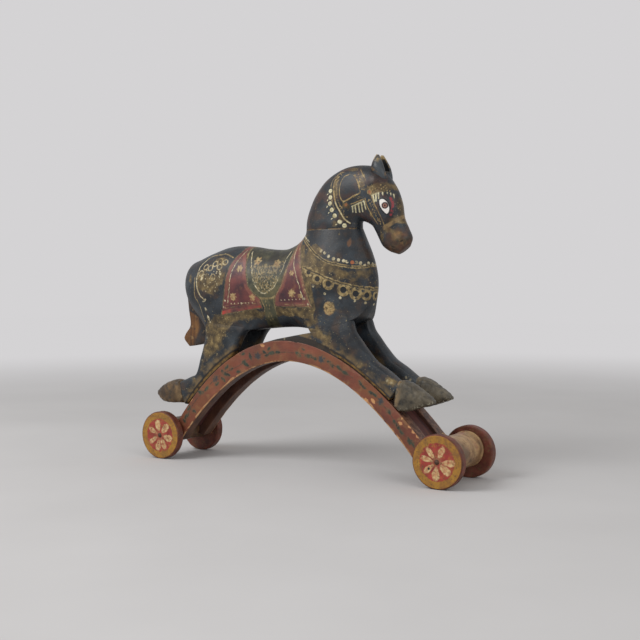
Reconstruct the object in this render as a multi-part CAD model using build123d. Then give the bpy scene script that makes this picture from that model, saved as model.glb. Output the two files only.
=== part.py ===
from build123d import *
import math
import os

# A carved and painted wooden horse at full gallop. It stands on an arch of two rails,
# which rolls on four painted wheels. Millimetres, +X the way the horse faces, +Z up,
# the ground at z = 0, and x = 0 midway between the two axle beams.

# ---- wheels, their pins and the axle beams ----
wheel_diameter = 90.0
wheel_thickness = 16.5
wheel_edge_round = 2.5
wheelbase = 582.0
track = 139.0                   # across the outer faces of a pair of wheels
wheel_side_gap = 3.0            # between a wheel's back and the end of its beam
pin_diameter = 5.0
pin_head_diameter = 9.0
pin_head_height = 2.6
pin_depth = 30.0                # how far a pin is driven into the beam
beam_diameter = 59.0
beam_rise = 6.0                 # the beam's centre line above the wheel pins
bead_height = 1.5               # the turned bead at each end of a beam
bead_width = 6.0

# ---- the arch: two rails with a board sunk between them ----
rail_thickness = 25.5
rail_inset = 3.0                # a rail's outer face inside the end of the beam
arch_crest = 232.0              # top of the rails above the ground
crest_setback = 20.0            # the crest behind the middle of the wheelbase
rail_depth = 37.0               # at the crest
arch_setback = 3.5              # both feet of the top edge, behind the middle
rail_top_reach = 11.0           # the top edge ends this far inside the beam's centre line
rail_foot_reach = 41.5          # the bottom edge ends this far inside it
rail_foot_height = 36.0
underside_setback = 12.0        # its crest, behind the middle of the wheelbase
underside_foot_setback = 8.0
well_depth = 9.0                # the sunk board's top below the rail tops
well_board_thickness = 16.0
well_board_foot = 10.0          # its thickness where it meets the beams

# ---- the horse ----
torso_half_width = 53.0
head_half_width = 26.0
neck_half_width = 31.0
leg_thickness = 30.0
leg_corner = 8.0
leg_bedding = 6.0               # how far a leg is let down before it is fitted to its rail
fore_leg_root = 30.0            # the back of a fore leg and the front of a hind leg,
hind_leg_root = -110.0          # ahead of the middle
fore_fetlock_setback = 103.0    # each fetlock inside the axle that it reaches for
hind_fetlock_setback = 44.0
hoof_thickness = 35.0
hoof_corner = 8.0
heel_end = -36.0                # where a fore leg's thin wedge runs out along the rail
heel_share = 0.84               # the wedge's thickness over the leg's
tail_thickness = 26.0
tail_corner = 8.0
ear_height = 36.0
ear_spread = 13.0               # each ear's root from the middle of the head
ear_lean = 4.0                  # its tip further out
ear_sunk = 13.0                 # its root below the top of the head

# ---- joinery ----
fit_gap = 0.05                  # all round a pin, a dowel or a peg in its bore
tenon_length = 76.0
tenon_thickness = 18.0
tenon_depth = 32.0              # into each of the two blocks
tenon_middle = 66.0             # ahead of the middle
locking_peg_diameter = 8.0
locking_peg_inset = 10.0        # from the tenon's front edge
leg_dowel_diameter = 12.0
leg_dowel_length = 36.0
leg_dowel_inset = 4.0           # its end inside the outer face of the leg
foot_peg_diameter = 6.0
foot_peg_length = 32.0
foot_peg_shares = (0.4, 0.75)   # of the way down each leg
hoof_dowel_diameter = 7.0
hoof_dowel_length = 22.0
fore_hoof_drop = 0.55           # how steeply its dowel runs down, per length
hind_hoof_drop = 0.35
beam_dowel_diameter = 9.0
beam_dowel_length = 34.0
beam_dowel_slope = 29.0         # degrees up from level
tail_peg_diameter = 8.0
tail_peg_length = 34.0

# ---- places that follow from the sizes above ----
wheel_radius = wheel_diameter / 2
axle_x = wheelbase / 2
wheel_back = track / 2 - wheel_thickness
beam_end = wheel_back - wheel_side_gap
beam_radius = beam_diameter / 2
beam_z = wheel_radius + beam_rise
rail_outer = beam_end - rail_inset
rail_inner = rail_outer - rail_thickness
rail_middle = (rail_outer + rail_inner) / 2
fore_fetlock = axle_x - fore_fetlock_setback
hind_fetlock = hind_fetlock_setback - axle_x
far = 2 * (wheelbase + arch_crest)      # longer than anything that it cuts
skin_closeness = 0.02                   # how near a carved skin keeps to its slices

SIDES = {"left": 1, "right": -1}
ENDS = {"front": 1, "rear": -1}


# ---- small helpers ----
def bridge_points(half_span, foot_z, setback, crest_x, crest_z):
    """Three control points of a parabola through two feet, whose middle is the crest."""
    rear, front = -half_span - setback, half_span - setback
    return [
        (rear, foot_z),
        (2 * crest_x - (rear + front) / 2, 2 * crest_z - foot_z),
        (front, foot_z),
    ]


rail_top_points = bridge_points(
    axle_x - rail_top_reach, wheel_radius, arch_setback, -crest_setback, arch_crest
)
rail_foot_points = bridge_points(
    axle_x - rail_foot_reach, rail_foot_height, underside_foot_setback,
    -underside_setback, arch_crest - rail_depth,
)


def rail_top(x):
    """Height of the rails' top edge at x."""
    (x0, z0), (x1, z1), (x2, z2) = rail_top_points
    a, b, c = x0 - 2 * x1 + x2, 2 * (x1 - x0), x0 - x
    t = (-c / b) if abs(a) < 1e-9 else (-b + math.sqrt(b * b - 4 * a * c)) / (2 * a)
    return (1 - t) ** 2 * z0 + 2 * t * (1 - t) * z1 + t * t * z2


def above(x, height):
    """A point of the horse, given above the crest of the arch."""
    return (x, arch_crest + height)


def on_rail(x, lift=0.0):
    """A point of a leg's sole, given above the top of its rail."""
    return (x, rail_top(x) + lift)


def down_fore(share, lift):
    """A point above the rail, a share of the way from a fore leg's root to its fetlock."""
    return on_rail(fore_leg_root + share * (fore_fetlock - fore_leg_root), lift)


def down_hind(share, lift):
    return on_rail(hind_leg_root + share * (hind_fetlock - hind_leg_root), lift)


def cut_plane(upper, lower, y=0.0):
    """Plane across the mid plane: its x runs from the lower point up to the upper one."""
    dx, dz = upper[0] - lower[0], upper[1] - lower[1]
    middle = ((upper[0] + lower[0]) / 2, y, (upper[1] + lower[1]) / 2)
    return Plane(middle, x_dir=(dx, 0, dz), z_dir=(dz, 0, -dx))


def gap_between(upper, lower):
    return math.hypot(upper[0] - lower[0], upper[1] - lower[1])


def flow(before, start, end, after, share):
    """A smooth run from start to end, which heads off from before and on to after."""
    square, cube = share**2, share**3
    rise, bend = end - before, 2 * before - 5 * start + 4 * end - after
    return start + (rise * share + bend * square + (3 * start - before - 3 * end + after) * cube) / 2


def slices_between(stations, steps):
    """The same slices with more of them in between, as (upper, lower, half width) rows."""
    rows = [(*upper, *lower, half_width) for upper, lower, half_width in stations]
    first = tuple(2 * a - b for a, b in zip(rows[0], rows[1]))
    last = tuple(2 * a - b for a, b in zip(rows[-1], rows[-2]))
    rows = [first, *rows, last]
    between = []
    for four in zip(rows, rows[1:], rows[2:], rows[3:]):
        for step in range(steps):
            between.append([flow(*values, step / steps) for values in zip(*four)])
    return [*between, rows[-2]]


def carved_skin(stations, steps=3, corners=12):
    """Oval slices under one smooth skin a side, for a block that bends through a sharp turn."""
    grid = []
    for upper_x, upper_z, lower_x, lower_z, half_width in slices_between(stations, steps):
        row = []
        for corner in range(corners + 1):
            turn = math.pi * corner / corners
            share = (1 + math.cos(turn)) / 2
            y = half_width * math.sin(turn) if 0 < corner < corners else 0.0
            row.append((lower_x + share * (upper_x - lower_x), y,
                        lower_z + share * (upper_z - lower_z)))
        grid.append(row)
    left = Face.make_surface_from_array_of_points(grid, tol=skin_closeness)
    right = left.mirror(Plane.XZ)
    ends = [Face(Wire([nearest_edge(left, row[corners // 2], 1),
                       nearest_edge(right, row[corners // 2], -1)])) for row in (grid[0], grid[-1])]
    return Solid(Shell([left, right, *ends]))


def nearest_edge(face, point, side):
    """The edge whose middle is nearest to a point, or to its mirror image if side is -1."""
    target = Vector(point[0], side * point[1], point[2])
    return min(face.edges(), key=lambda edge: (edge @ 0.5 - target).length)


def board_loft(stations, corner):
    """Rounded oblong slices, each (upper point, lower point, thickness, y)."""
    slices = []
    for upper, lower, thickness, y in stations:
        deep = gap_between(upper, lower)
        radius = min(corner, 0.45 * deep, 0.45 * thickness)
        slices.append(cut_plane(upper, lower, y) * RectangleRounded(deep, thickness, radius))
    return loft(slices)


def slab(outline, y_low, y_high):
    """A flat outline in the X-Z plane, thickened from y_low to y_high."""
    face = Pos(0, y_low, 0) * (Plane.XZ * make_face(outline))
    return extrude(face, y_high - y_low, dir=(0, 1, 0))


def rod(start, end, diameter):
    """A round bar between two points."""
    path = Vector(*end) - Vector(*start)
    bar = Cylinder(diameter / 2, path.length, align=(Align.CENTER, Align.CENTER, Align.MIN))
    return Plane(start, z_dir=path) * bar


def along(middle, direction, length):
    """The two ends of a bar of this length, centred on a point."""
    reach = Vector(*direction).normalized() * (length / 2)
    centre = Vector(*middle)
    return tuple(centre - reach), tuple(centre + reach)


def one_solid(shape):
    """The largest solid of a cut shape: shavings that a cut leaves are dropped."""
    return max(shape.solids(), key=lambda piece: piece.volume)


def write(name, shape):
    export_step(shape, f"parts/{name}.step")


# ---- the rolling base ----
def axle_beam(end):
    """A thick turned beam across the feet of both rails, with a bead at each end."""
    shaft = Cylinder(beam_radius, 2 * beam_end)
    for side in SIDES.values():
        bead = Cylinder(beam_radius + bead_height, bead_width)
        bead = fillet(bead.edges().filter_by(GeomType.CIRCLE), bead_height * 0.9)
        shaft += Pos(0, 0, side * (beam_end - bead_width / 2)) * bead
    beam = Pos(end * axle_x, 0, beam_z) * Rot(90, 0, 0) * shaft
    for side in SIDES.values():
        beam -= pin_bore(end, side)
    return beam


def pin_bore(end, side):
    inner = side * (beam_end - pin_depth)
    outer = side * (track / 2 + pin_head_height)
    x = end * axle_x
    return rod((x, inner, wheel_radius), (x, outer, wheel_radius), pin_diameter + 2 * fit_gap)


def wheel(end, side):
    """A turned disc with eased edges and a hole for its pin."""
    disc = Cylinder(wheel_radius, wheel_thickness)
    disc = fillet(disc.edges().filter_by(GeomType.CIRCLE), wheel_edge_round)
    middle = side * (wheel_back + wheel_thickness / 2)
    return Pos(end * axle_x, middle, wheel_radius) * Rot(90, 0, 0) * disc - pin_bore(end, side)


def axle_pin(end, side):
    """An iron nail: its shank is driven into the beam, and its domed head keeps the wheel on."""
    x = end * axle_x
    face = side * (track / 2 + fit_gap)
    shank = rod((x, side * (beam_end - pin_depth + fit_gap), wheel_radius),
                (x, face, wheel_radius), pin_diameter)
    rise = pin_head_height
    dome_radius = (pin_head_diameter**2 / 4 + rise**2) / (2 * rise)
    dome = Pos(x, face + side * (rise - dome_radius), wheel_radius) * Sphere(dome_radius)
    keep = Pos(x, face + side * rise / 2, wheel_radius) * Box(pin_head_diameter * 1.2, rise,
                                                             pin_head_diameter * 1.2)
    return shank + (dome & keep)


def rail_blank(y_low, y_high):
    """The arch between two curved edges, before it is coped over the beams."""
    top = Bezier(*rail_top_points)
    foot = Bezier(*rail_foot_points)
    ends = Line(top @ 0, foot @ 0) + Line(top @ 1, foot @ 1)
    return slab(top + foot + ends, y_low, y_high)


def arch_rail(side, beams):
    """One thick rail, coped over both beams."""
    low, high = sorted((side * rail_inner, side * rail_outer))
    rail = rail_blank(low, high)
    for beam in beams:
        rail -= beam
    return one_solid(rail)


def well_board(beams):
    """A bent board sunk between the rails, flush against their inner faces."""
    span = axle_x - rail_top_reach
    crest, foot = arch_crest - well_depth, wheel_radius - well_depth
    top = Bezier(*bridge_points(span, foot, arch_setback, -crest_setback, crest))
    under = Bezier(*bridge_points(span, foot - well_board_foot, arch_setback, -crest_setback,
                                  crest - well_board_thickness))
    ends = Line(top @ 0, under @ 0) + Line(top @ 1, under @ 1)
    board = slab(top + under + ends, -rail_inner, rail_inner)
    for beam in beams:
        board -= beam
    return one_solid(board)


def beam_dowel_ends(end, side):
    """A dowel from the heart of a beam up the middle of the rail that is coped over it."""
    slope = math.radians(beam_dowel_slope)
    across, up = -end * math.cos(slope), math.sin(slope)
    middle = (end * axle_x + across * beam_radius, side * rail_middle, beam_z + up * beam_radius)
    return along(middle, (across, 0, up), beam_dowel_length)


# ---- the horse's blocks ----
neck_seam = (above(2, 196), above(113, 198), neck_half_width)
seam_z = (neck_seam[0][1] + neck_seam[1][1]) / 2
brow = above(154, 297)          # the top of the head, between the ears


def torso_block():
    """Rump and barrel, then chest and neck stump in slices that fan round the withers."""
    w = torso_half_width
    return carved_skin([
        (above(-265, 118), above(-260, 74), 0.42 * w),
        (above(-254, 139), above(-246, 48), 0.72 * w),
        (above(-232, 148), above(-223, 30), 0.89 * w),
        (above(-203, 159), above(-197, 18), 0.98 * w),
        (above(-163, 170), above(-157, 12), w),
        (above(-120, 170), above(-117, 14), w),
        (above(-76, 164), above(-72, 19), 0.97 * w),
        (above(-42, 163), above(-27, 22), 0.95 * w),
        (above(-20, 170), above(20, 21), 0.94 * w),
        (above(-9, 177), above(64, 21), 0.93 * w),
        (above(-4, 182), above(102, 31), 0.91 * w),
        (above(-1, 186), above(127, 52), 0.88 * w),
        (above(1, 189), above(139, 92), 0.81 * w),
        (above(2, 192), above(134, 140), 0.71 * w),
        neck_seam,
    ])


def head_block():
    """Upper neck and head, in oval slices that fan round the throat down to the muzzle."""
    w = head_half_width
    n = neck_half_width
    return carved_skin([
        neck_seam,
        (above(3, 212), above(113, 203), 0.98 * n),
        (above(9, 232), above(113, 206), 0.94 * n),
        (above(22, 258), above(114, 208), 0.90 * n),
        (above(46, 285), above(116, 209), 0.86 * n),
        (above(82, 303), above(118, 209), 1.02 * w),
        (above(120, 306), above(122, 208), w),
        (brow, above(129, 205), w),
        (above(177, 267), above(138, 199), w),
        (above(191, 241), above(145, 188), 0.92 * w),
        (above(196, 214), above(150, 177), 0.80 * w),
        (above(205, 194), above(157, 165), 0.72 * w),
        (above(211, 180), above(170, 156), 0.62 * w),
        (above(208, 168), above(186, 151), 0.42 * w),
    ])


def ear(side):
    """A pricked ear, hollowed in front, on a short root that is let into the head."""
    root_y, tip_y = side * ear_spread, side * (ear_spread + ear_lean)
    slices = [
        (-16, 0.0, 8, -0.06, 8.5, 0.0),
        (-15, 0.45, 8, 0.36, 9.5, 0.4),
        (-12, 0.80, 3, 0.72, 6.5, 0.8),
        (-9, 1.03, -4, 0.99, 2.2, 1.0),
    ]
    shell, hollow = [], []
    for rear_x, rear_share, front_x, front_share, half_width, lean_share in slices:
        rear = (brow[0] + rear_x, brow[1] - ear_sunk + rear_share * ear_height)
        front = (brow[0] + front_x, brow[1] - ear_sunk + front_share * ear_height)
        across = cut_plane(front, rear, root_y + lean_share * (tip_y - root_y))
        depth = gap_between(front, rear)
        shell.append(across * Ellipse(depth / 2, half_width))
        hollow.append(across * Pos(0.42 * depth, 0) * Ellipse(0.34 * depth, 0.62 * half_width))
    return loft(shell) - loft(hollow[1:])


def fore_leg(side):
    """Reaches forward along its rail, from inside the shoulder to the fetlock."""
    y, t = side * rail_middle, leg_thickness
    sink = -leg_bedding
    return board_loft([
        (above(96, 72), above(34, 62), 0.62 * t, y * 0.82),
        (above(112, 42), above(26, 30), 0.95 * t, y * 0.94),
        (down_fore(0.563, 64), down_fore(0.165, sink), t, y),
        (down_fore(0.633, 56), down_fore(0.348, sink), t, y),
        (down_fore(0.715, 48), down_fore(0.525, sink), t, y),
        (down_fore(0.829, 42), down_fore(0.684, sink), t, y),
        (down_fore(0.975, 46), down_fore(0.823, sink), t, y),
        (down_fore(1.158, 51), down_fore(1.0, sink + 4), t, y),
    ], leg_corner)


def leg_heel(side):
    """The thin wedge of a fore leg that runs back along the rail to the crest."""
    y, t = side * rail_middle, heel_share * leg_thickness
    outline = Polyline(above(heel_end, -leg_bedding), above(heel_end, 1), above(30, 17),
                       above(84, 30), on_rail(100, 0), on_rail(60, -leg_bedding), close=True)
    return slab(outline, y - t / 2, y + t / 2)


def hind_leg(side):
    """Kicks back along its rail, from inside the haunch to the fetlock."""
    y, t = side * rail_middle, leg_thickness
    sink = -leg_bedding
    return board_loft([
        (above(-206, 84), above(-122, 58), 0.62 * t, y * 0.86),
        (above(-206, 44), above(-103, 26), 0.98 * t, y * 0.96),
        (down_hind(0.664, 99), down_hind(0.066, 26), t, y),
        (down_hind(0.686, 78), down_hind(0.263, sink), t, y),
        (down_hind(0.745, 60), down_hind(0.438, sink), t, y),
        (down_hind(0.818, 40), down_hind(0.657, sink), t, y),
        (down_hind(0.934, 50), down_hind(0.810, sink), t, y),
        (down_hind(1.088, 68), down_hind(1.0, 8), t, y),
    ], leg_corner)


def fore_hoof(side):
    """A wedge whose sole faces down and forward, with a ledge round the fetlock."""
    x, z = on_rail(fore_fetlock)
    y, t = side * rail_middle, hoof_thickness
    return board_loft([
        ((x + 20, z + 34), (x + 13, z - 14), 0.86 * t, y),
        ((x + 38, z + 32), (x + 31, z - 18), t, y),
        ((x + 56, z + 22), (x + 51, z - 13), 0.96 * t, y),
        ((x + 71, z + 12), (x + 69, z - 7), 0.76 * t, y),
        ((x + 82, z + 3), (x + 82, z - 2), 0.36 * t, y),
    ], hoof_corner)


def hind_hoof(side):
    """Almond shaped, trailing flat behind its fetlock."""
    x, z = hind_fetlock, rail_top(hind_fetlock) + 11
    y, t = side * rail_middle, hoof_thickness
    return board_loft([
        ((x - 9, z + 38), (x - 5, z + 2), 0.86 * t, y),
        ((x - 23, z + 44), (x - 21, z - 1), t, y),
        ((x - 43, z + 39), (x - 43, z - 2), 0.96 * t, y),
        ((x - 60, z + 31), (x - 59, z), 0.74 * t, y),
        ((x - 73, z + 21), (x - 73, z + 10), 0.34 * t, y),
    ], hoof_corner)


def tail_block():
    """A thick tail that hangs close behind the haunches and flicks up at its end."""
    t = tail_thickness
    return board_loft([
        (above(-264, 120), above(-228, 114), 0.9 * t, 0),
        (above(-271, 92), above(-226, 88), t, 0),
        (above(-268, 54), above(-220, 50), t, 0),
        (above(-264, 22), above(-215, 16), t, 0),
        (above(-276, 4), above(-213, 1), t, 0),
        (above(-279, -6), above(-215, -7), t, 0),
        (above(-268, -20), above(-232, -14), 0.9 * t, 0),
    ], tail_corner)


# ---- pins of wood that hold the blocks together ----
def leg_dowels():
    """A level dowel from the torso into the top of each leg."""
    dowels = {}
    for name, (x, z) in {"shoulder_dowels": above(70, 37), "hip_dowels": above(-158, 29)}.items():
        outer = rail_outer - leg_dowel_inset
        inner = outer - leg_dowel_length
        dowels[name] = [((x, side * outer, z), (x, side * inner, z)) for side in SIDES.values()]
    return dowels


def foot_pegs():
    """Pegs through each leg's sole into the rail, square to the arch."""
    ends = []
    places = [down(share, 0)[0] for down in (down_fore, down_hind) for share in foot_peg_shares]
    for x in places:
        slope = (rail_top(x + 1) - rail_top(x - 1)) / 2
        for side in SIDES.values():
            sole = (x, side * rail_middle, rail_top(x))
            ends.append(along(sole, (-slope, 0, 1), foot_peg_length))
    return ends


def hoof_dowels():
    """A dowel from each fetlock into its hoof."""
    fore = (fore_fetlock + 14, rail_top(fore_fetlock) + 12)
    hind = (hind_fetlock - 9, rail_top(hind_fetlock) + 28)
    ends = []
    for (x, z), direction in ((fore, (1, 0, -fore_hoof_drop)), (hind, (-1, 0, -hind_hoof_drop))):
        for side in SIDES.values():
            ends.append(along((x, side * rail_middle, z), direction, hoof_dowel_length))
    return ends


def locking_peg_ends():
    """A peg right through the neck and the lower half of its tenon, near the front."""
    x = tenon_middle + tenon_length / 2 - locking_peg_inset
    z = seam_z - tenon_depth + locking_peg_inset
    return [((x, -far, z), (x, far, z))]


def tail_peg_ends():
    """A level peg from the tail into the rump."""
    x, z = above(-240, 96)
    return [along((x, 0, z), (1, 0, 0), tail_peg_length)]


def neck_joint_box(clearance):
    """The loose tenon that joins neck and torso, or the mortises for it, a little larger."""
    return Pos(tenon_middle, 0, seam_z) * Box(tenon_length + 2 * clearance,
                                              tenon_thickness + 2 * clearance,
                                              2 * (tenon_depth + clearance))


def fitted(shape, rods, diameter):
    """The shape with a bore for each rod that is as long as the rod and a little wider."""
    for start, end in rods:
        step = (Vector(*end) - Vector(*start)).normalized() * fit_gap
        shape -= rod(tuple(Vector(*start) - step), tuple(Vector(*end) + step),
                     diameter + 2 * fit_gap)
    return shape


def group(rods, diameter):
    return Compound(children=[rod(start, end, diameter) for start, end in rods])


# ---- build and write every piece ----
os.makedirs("parts", exist_ok=True)

beams = {name: axle_beam(end) for name, end in ENDS.items()}
beam_rods = [beam_dowel_ends(end, side) for end in ENDS.values() for side in SIDES.values()]
foot_rods = foot_pegs()
hoof_rods = hoof_dowels()
leg_rods = leg_dowels()
hip_and_shoulder_rods = [rod_ends for pair in leg_rods.values() for rod_ends in pair]
neck_rods = locking_peg_ends()
tail_rods = tail_peg_ends()

torso = torso_block()
head = head_block()
arch_cutter = rail_blank(-far, far)

for side_name, side in SIDES.items():
    leg_pairs = {
        "fore": (fore_leg(side) + leg_heel(side), fore_hoof(side)),
        "hind": (hind_leg(side), hind_hoof(side)),
    }
    for name, (leg, hoof) in leg_pairs.items():
        leg = one_solid(leg - torso - arch_cutter)
        hoof = one_solid(hoof - leg - arch_cutter)
        leg = fitted(leg, hip_and_shoulder_rods, leg_dowel_diameter)
        leg = fitted(leg, foot_rods, foot_peg_diameter)
        write(f"{name}_leg_{side_name}", fitted(leg, hoof_rods, hoof_dowel_diameter))
        write(f"{name}_hoof_{side_name}", fitted(hoof, hoof_rods, hoof_dowel_diameter))

tail = fitted(one_solid(tail_block() - torso), tail_rods, tail_peg_diameter)
locking_peg = rod(*neck_rods[0], locking_peg_diameter) & torso
torso -= neck_joint_box(fit_gap)
torso = fitted(torso, hip_and_shoulder_rods, leg_dowel_diameter)
torso = fitted(torso, tail_rods, tail_peg_diameter)
write("torso", fitted(torso, neck_rods, locking_peg_diameter))
write("head_and_neck", head - neck_joint_box(fit_gap))
write("neck_tenon", fitted(neck_joint_box(0), neck_rods, locking_peg_diameter))
write("neck_locking_peg", locking_peg)
write("tail", tail)
write("tail_peg", group(tail_rods, tail_peg_diameter))
write("foot_pegs", group(foot_rods, foot_peg_diameter))
write("hoof_dowels", group(hoof_rods, hoof_dowel_diameter))
for name, rods in leg_rods.items():
    write(name, group(rods, leg_dowel_diameter))
for name, side in SIDES.items():
    write("ear_" + name, one_solid(ear(side) - head))
    rail = fitted(arch_rail(side, beams.values()), foot_rods, foot_peg_diameter)
    write("arch_rail_" + name, fitted(rail, beam_rods, beam_dowel_diameter))

write("well_board", well_board(beams.values()))
write("beam_dowels", group(beam_rods, beam_dowel_diameter))
for name, end in ENDS.items():
    write(name + "_axle_beam", fitted(beams[name], beam_rods, beam_dowel_diameter))
    for side_name, side in SIDES.items():
        write(f"wheel_{name}_{side_name}", wheel(end, side))
        write(f"axle_pin_{name}_{side_name}", axle_pin(end, side))
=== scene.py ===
import math

import bpy
import numpy as np
from mathutils import Matrix


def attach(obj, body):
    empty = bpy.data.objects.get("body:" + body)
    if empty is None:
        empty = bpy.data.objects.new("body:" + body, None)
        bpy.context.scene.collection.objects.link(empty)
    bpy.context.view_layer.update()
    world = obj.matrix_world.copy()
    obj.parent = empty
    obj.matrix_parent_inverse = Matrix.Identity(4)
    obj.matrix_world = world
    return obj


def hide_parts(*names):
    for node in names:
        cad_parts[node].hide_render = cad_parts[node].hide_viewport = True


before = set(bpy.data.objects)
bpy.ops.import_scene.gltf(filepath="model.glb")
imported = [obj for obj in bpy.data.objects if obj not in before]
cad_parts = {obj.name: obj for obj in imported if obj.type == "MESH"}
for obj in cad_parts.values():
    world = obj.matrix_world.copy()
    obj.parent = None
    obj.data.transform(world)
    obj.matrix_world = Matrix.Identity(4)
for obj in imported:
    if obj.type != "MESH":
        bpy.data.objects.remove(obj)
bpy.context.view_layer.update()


# ---- Camera ----
# A portrait lens at about the height of the horse's belly, on its right side and a little
# ahead of it.
def aimed(thing, place, target, roll=0.0):
    """Puts a camera or a lamp at a place and points it at a target: one axis runs straight
    back from the target, one is level, and both others are turned by the roll."""
    ahead = np.subtract(target, place)
    ahead /= np.linalg.norm(ahead)
    level = np.cross(ahead, (0, 0, 1))
    level /= np.linalg.norm(level)
    upward = np.cross(level, ahead)
    turned_level = math.cos(roll) * level + math.sin(roll) * upward
    turned_upward = math.cos(roll) * upward - math.sin(roll) * level
    axes = np.stack([turned_level, turned_upward, -ahead, place], 1)
    thing.matrix_world = Matrix([*axes.tolist(), (0, 0, 0, 1)])
    bpy.context.scene.collection.objects.link(thing)


camera_place = (1.0347, -1.6126, 0.3446)
camera_target = (0.0264, 0.0, 0.2677)
camera_roll = -0.0039
camera = bpy.data.objects.new("camera", bpy.data.cameras.new("camera"))
camera.data.lens = 59.72
camera.data.sensor_width = 36.0
aimed(camera, camera_place, camera_target, camera_roll)
bpy.context.scene.camera = camera


# ---- Studio ----
# A pale floor that runs back into a pale room, one wide soft lamp high on the left of the
# camera and a weaker one on its right.
class Tone:
    """A number or colour that varies over a surface. Sums of tones add Math nodes, and
    node() adds any other node to the same finish and gives one of its outputs as a tone."""

    def __init__(self, tree, socket=None):
        self.tree, self.socket = tree, socket

    def node(self, kind, settings=None, sockets=None, out=0):
        made = self.tree.nodes.new("ShaderNode" + kind)
        for key, value in (settings or {}).items():
            if key == "stops":
                ramp = made.color_ramp.elements
                while len(ramp) < len(value):
                    ramp.new(0.5)
                for stop, (place, colour) in zip(ramp, value):
                    stop.position, stop.color = place, (*colour, 1)
            else:
                setattr(made, key, value)
        for key, value in (sockets or {}).items():
            socket = made.inputs[key]
            if isinstance(value, Tone):
                self.tree.links.new(value.socket, socket)
            elif isinstance(value, tuple) and socket.type == "RGBA":
                socket.default_value = (*value, 1)
            else:
                socket.default_value = value
        return Tone(self.tree, made.outputs[out]) if made.outputs else None

    def math(self, operation, *values, clamp=False):
        settings = {"operation": operation, "use_clamp": clamp}
        return self.node("Math", settings, dict(enumerate(values)))

    def __add__(self, other):
        return self.math("ADD", self, other)

    def __sub__(self, other):
        return self.math("SUBTRACT", self, other)

    def __rsub__(self, other):
        return self.math("SUBTRACT", other, self)

    def __mul__(self, other):
        return self.math("MULTIPLY", self, other)

    __radd__, __rmul__ = __add__, __mul__

    def mixed(self, other, share):
        """This colour with a share of another over it."""
        return self.node("Mix", {"data_type": "RGBA"}, {0: share, 6: self, 7: other}, out=2)

    def within(self, low, high):
        """0 below low, 1 above high, and an even slope between."""
        return self.math("DIVIDE", self - low, high - low, clamp=True)

    def ramp(self, *stops):
        """The colour that a ramp of (number, colour) stops has at this number."""
        return self.node("ValToRGB", {"stops": stops}, {0: self})


def open_finish(name):
    """An empty material, and the place on the object, which its patterns are read at."""
    material = bpy.data.materials.new(name)
    material.use_nodes = True
    material.node_tree.nodes.clear()
    return material, Tone(material.node_tree).node("TexCoord", out=3)


def grain(place, scale, detail=3.0, stretch=(1, 1, 1), distortion=0.0):
    """Soft noise from 0 to 1, scale cells to the metre, drawn out along an axis."""
    spot = place.node("Mapping", None, {"Vector": place, "Scale": stretch})
    sockets = {"Vector": spot, "Scale": scale, "Detail": detail, "Distortion": distortion}
    return place.node("TexNoise", None, sockets)


room_colour = (0.66, 0.65, 0.66)
floor_reach = 6.0
floor_material, place = open_finish("pale_floor")
tint = grain(place, 3.0).ramp((0.3, (0.57, 0.56, 0.56)), (0.7, (0.60, 0.59, 0.59)))
matt = place.node("BsdfDiffuse", None, {"Color": tint})
distant = place.node("Emission", None, {"Color": room_colour, "Strength": 1.0})
away = place.node("VectorMath", {"operation": "LENGTH"}, {0: place}, out=1).within(0.9, 3.2)
away = place.math("SMOOTH_MIN", away * away * (3 - 2 * away), 1.0, 0.05)
faded = place.node("MixShader", None, {0: away * place.node("LightPath"), 1: matt, 2: distant})
place.node("OutputMaterial", None, {"Surface": faded})
floor_mesh = bpy.data.meshes.new("floor")
corners = [(x * floor_reach, y * floor_reach, 0) for x, y in ((-1, -1), (1, -1), (1, 1), (-1, 1))]
floor_mesh.from_pydata(corners, [], [(0, 1, 2, 3)])
floor_mesh.materials.append(floor_material)
floor = bpy.data.objects.new("floor", floor_mesh)
bpy.context.scene.collection.objects.link(floor)

world = bpy.data.worlds.new("room")
bpy.context.scene.world = world
world.use_nodes = True
world.node_tree.nodes.clear()
room = Tone(world.node_tree)
camera_ray, glossy_ray, clear_ray = (room.node("LightPath", out=out) for out in (0, 3, 6))
shown = room.node("Background", None, {"Color": room_colour, "Strength": 1.0})
light = room.node("Background", None, {"Color": (1.0, 0.99, 0.98), "Strength": 0.55})
seen = (camera_ray + glossy_ray + clear_ray).within(0, 1)
both = room.node("MixShader", None, {0: seen, 1: light, 2: shown})
room.node("OutputWorld", None, {"Surface": both})
bpy.context.scene.view_settings.view_transform = "Standard"

lamp_target = (0.0, 0.0, 0.25)
for name, place, watts in (("key_lamp", (-1.1, -1.9, 2.1), 42.0), ("fill_lamp", (2.3, -1.2, 1.3), 12.0)):
    lamp = bpy.data.objects.new(name, bpy.data.lights.new(name, "AREA"))
    lamp.data.energy = watts
    lamp.data.shape = "DISK"
    lamp.data.size = 1.6
    aimed(lamp, place, lamp_target)


# ---- Wheels ----
# Four discs turned from solid wood, 90 mm across. The outer face is painted with a yellow
# ring round a red disc with seven cream petals, set by eye, and rim and back are worn
# red-brown. Each one turns on its own nail.
SIDES = (("left", 1), ("right", -1))
ENDS = (("front", 1), ("rear", -1))


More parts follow.
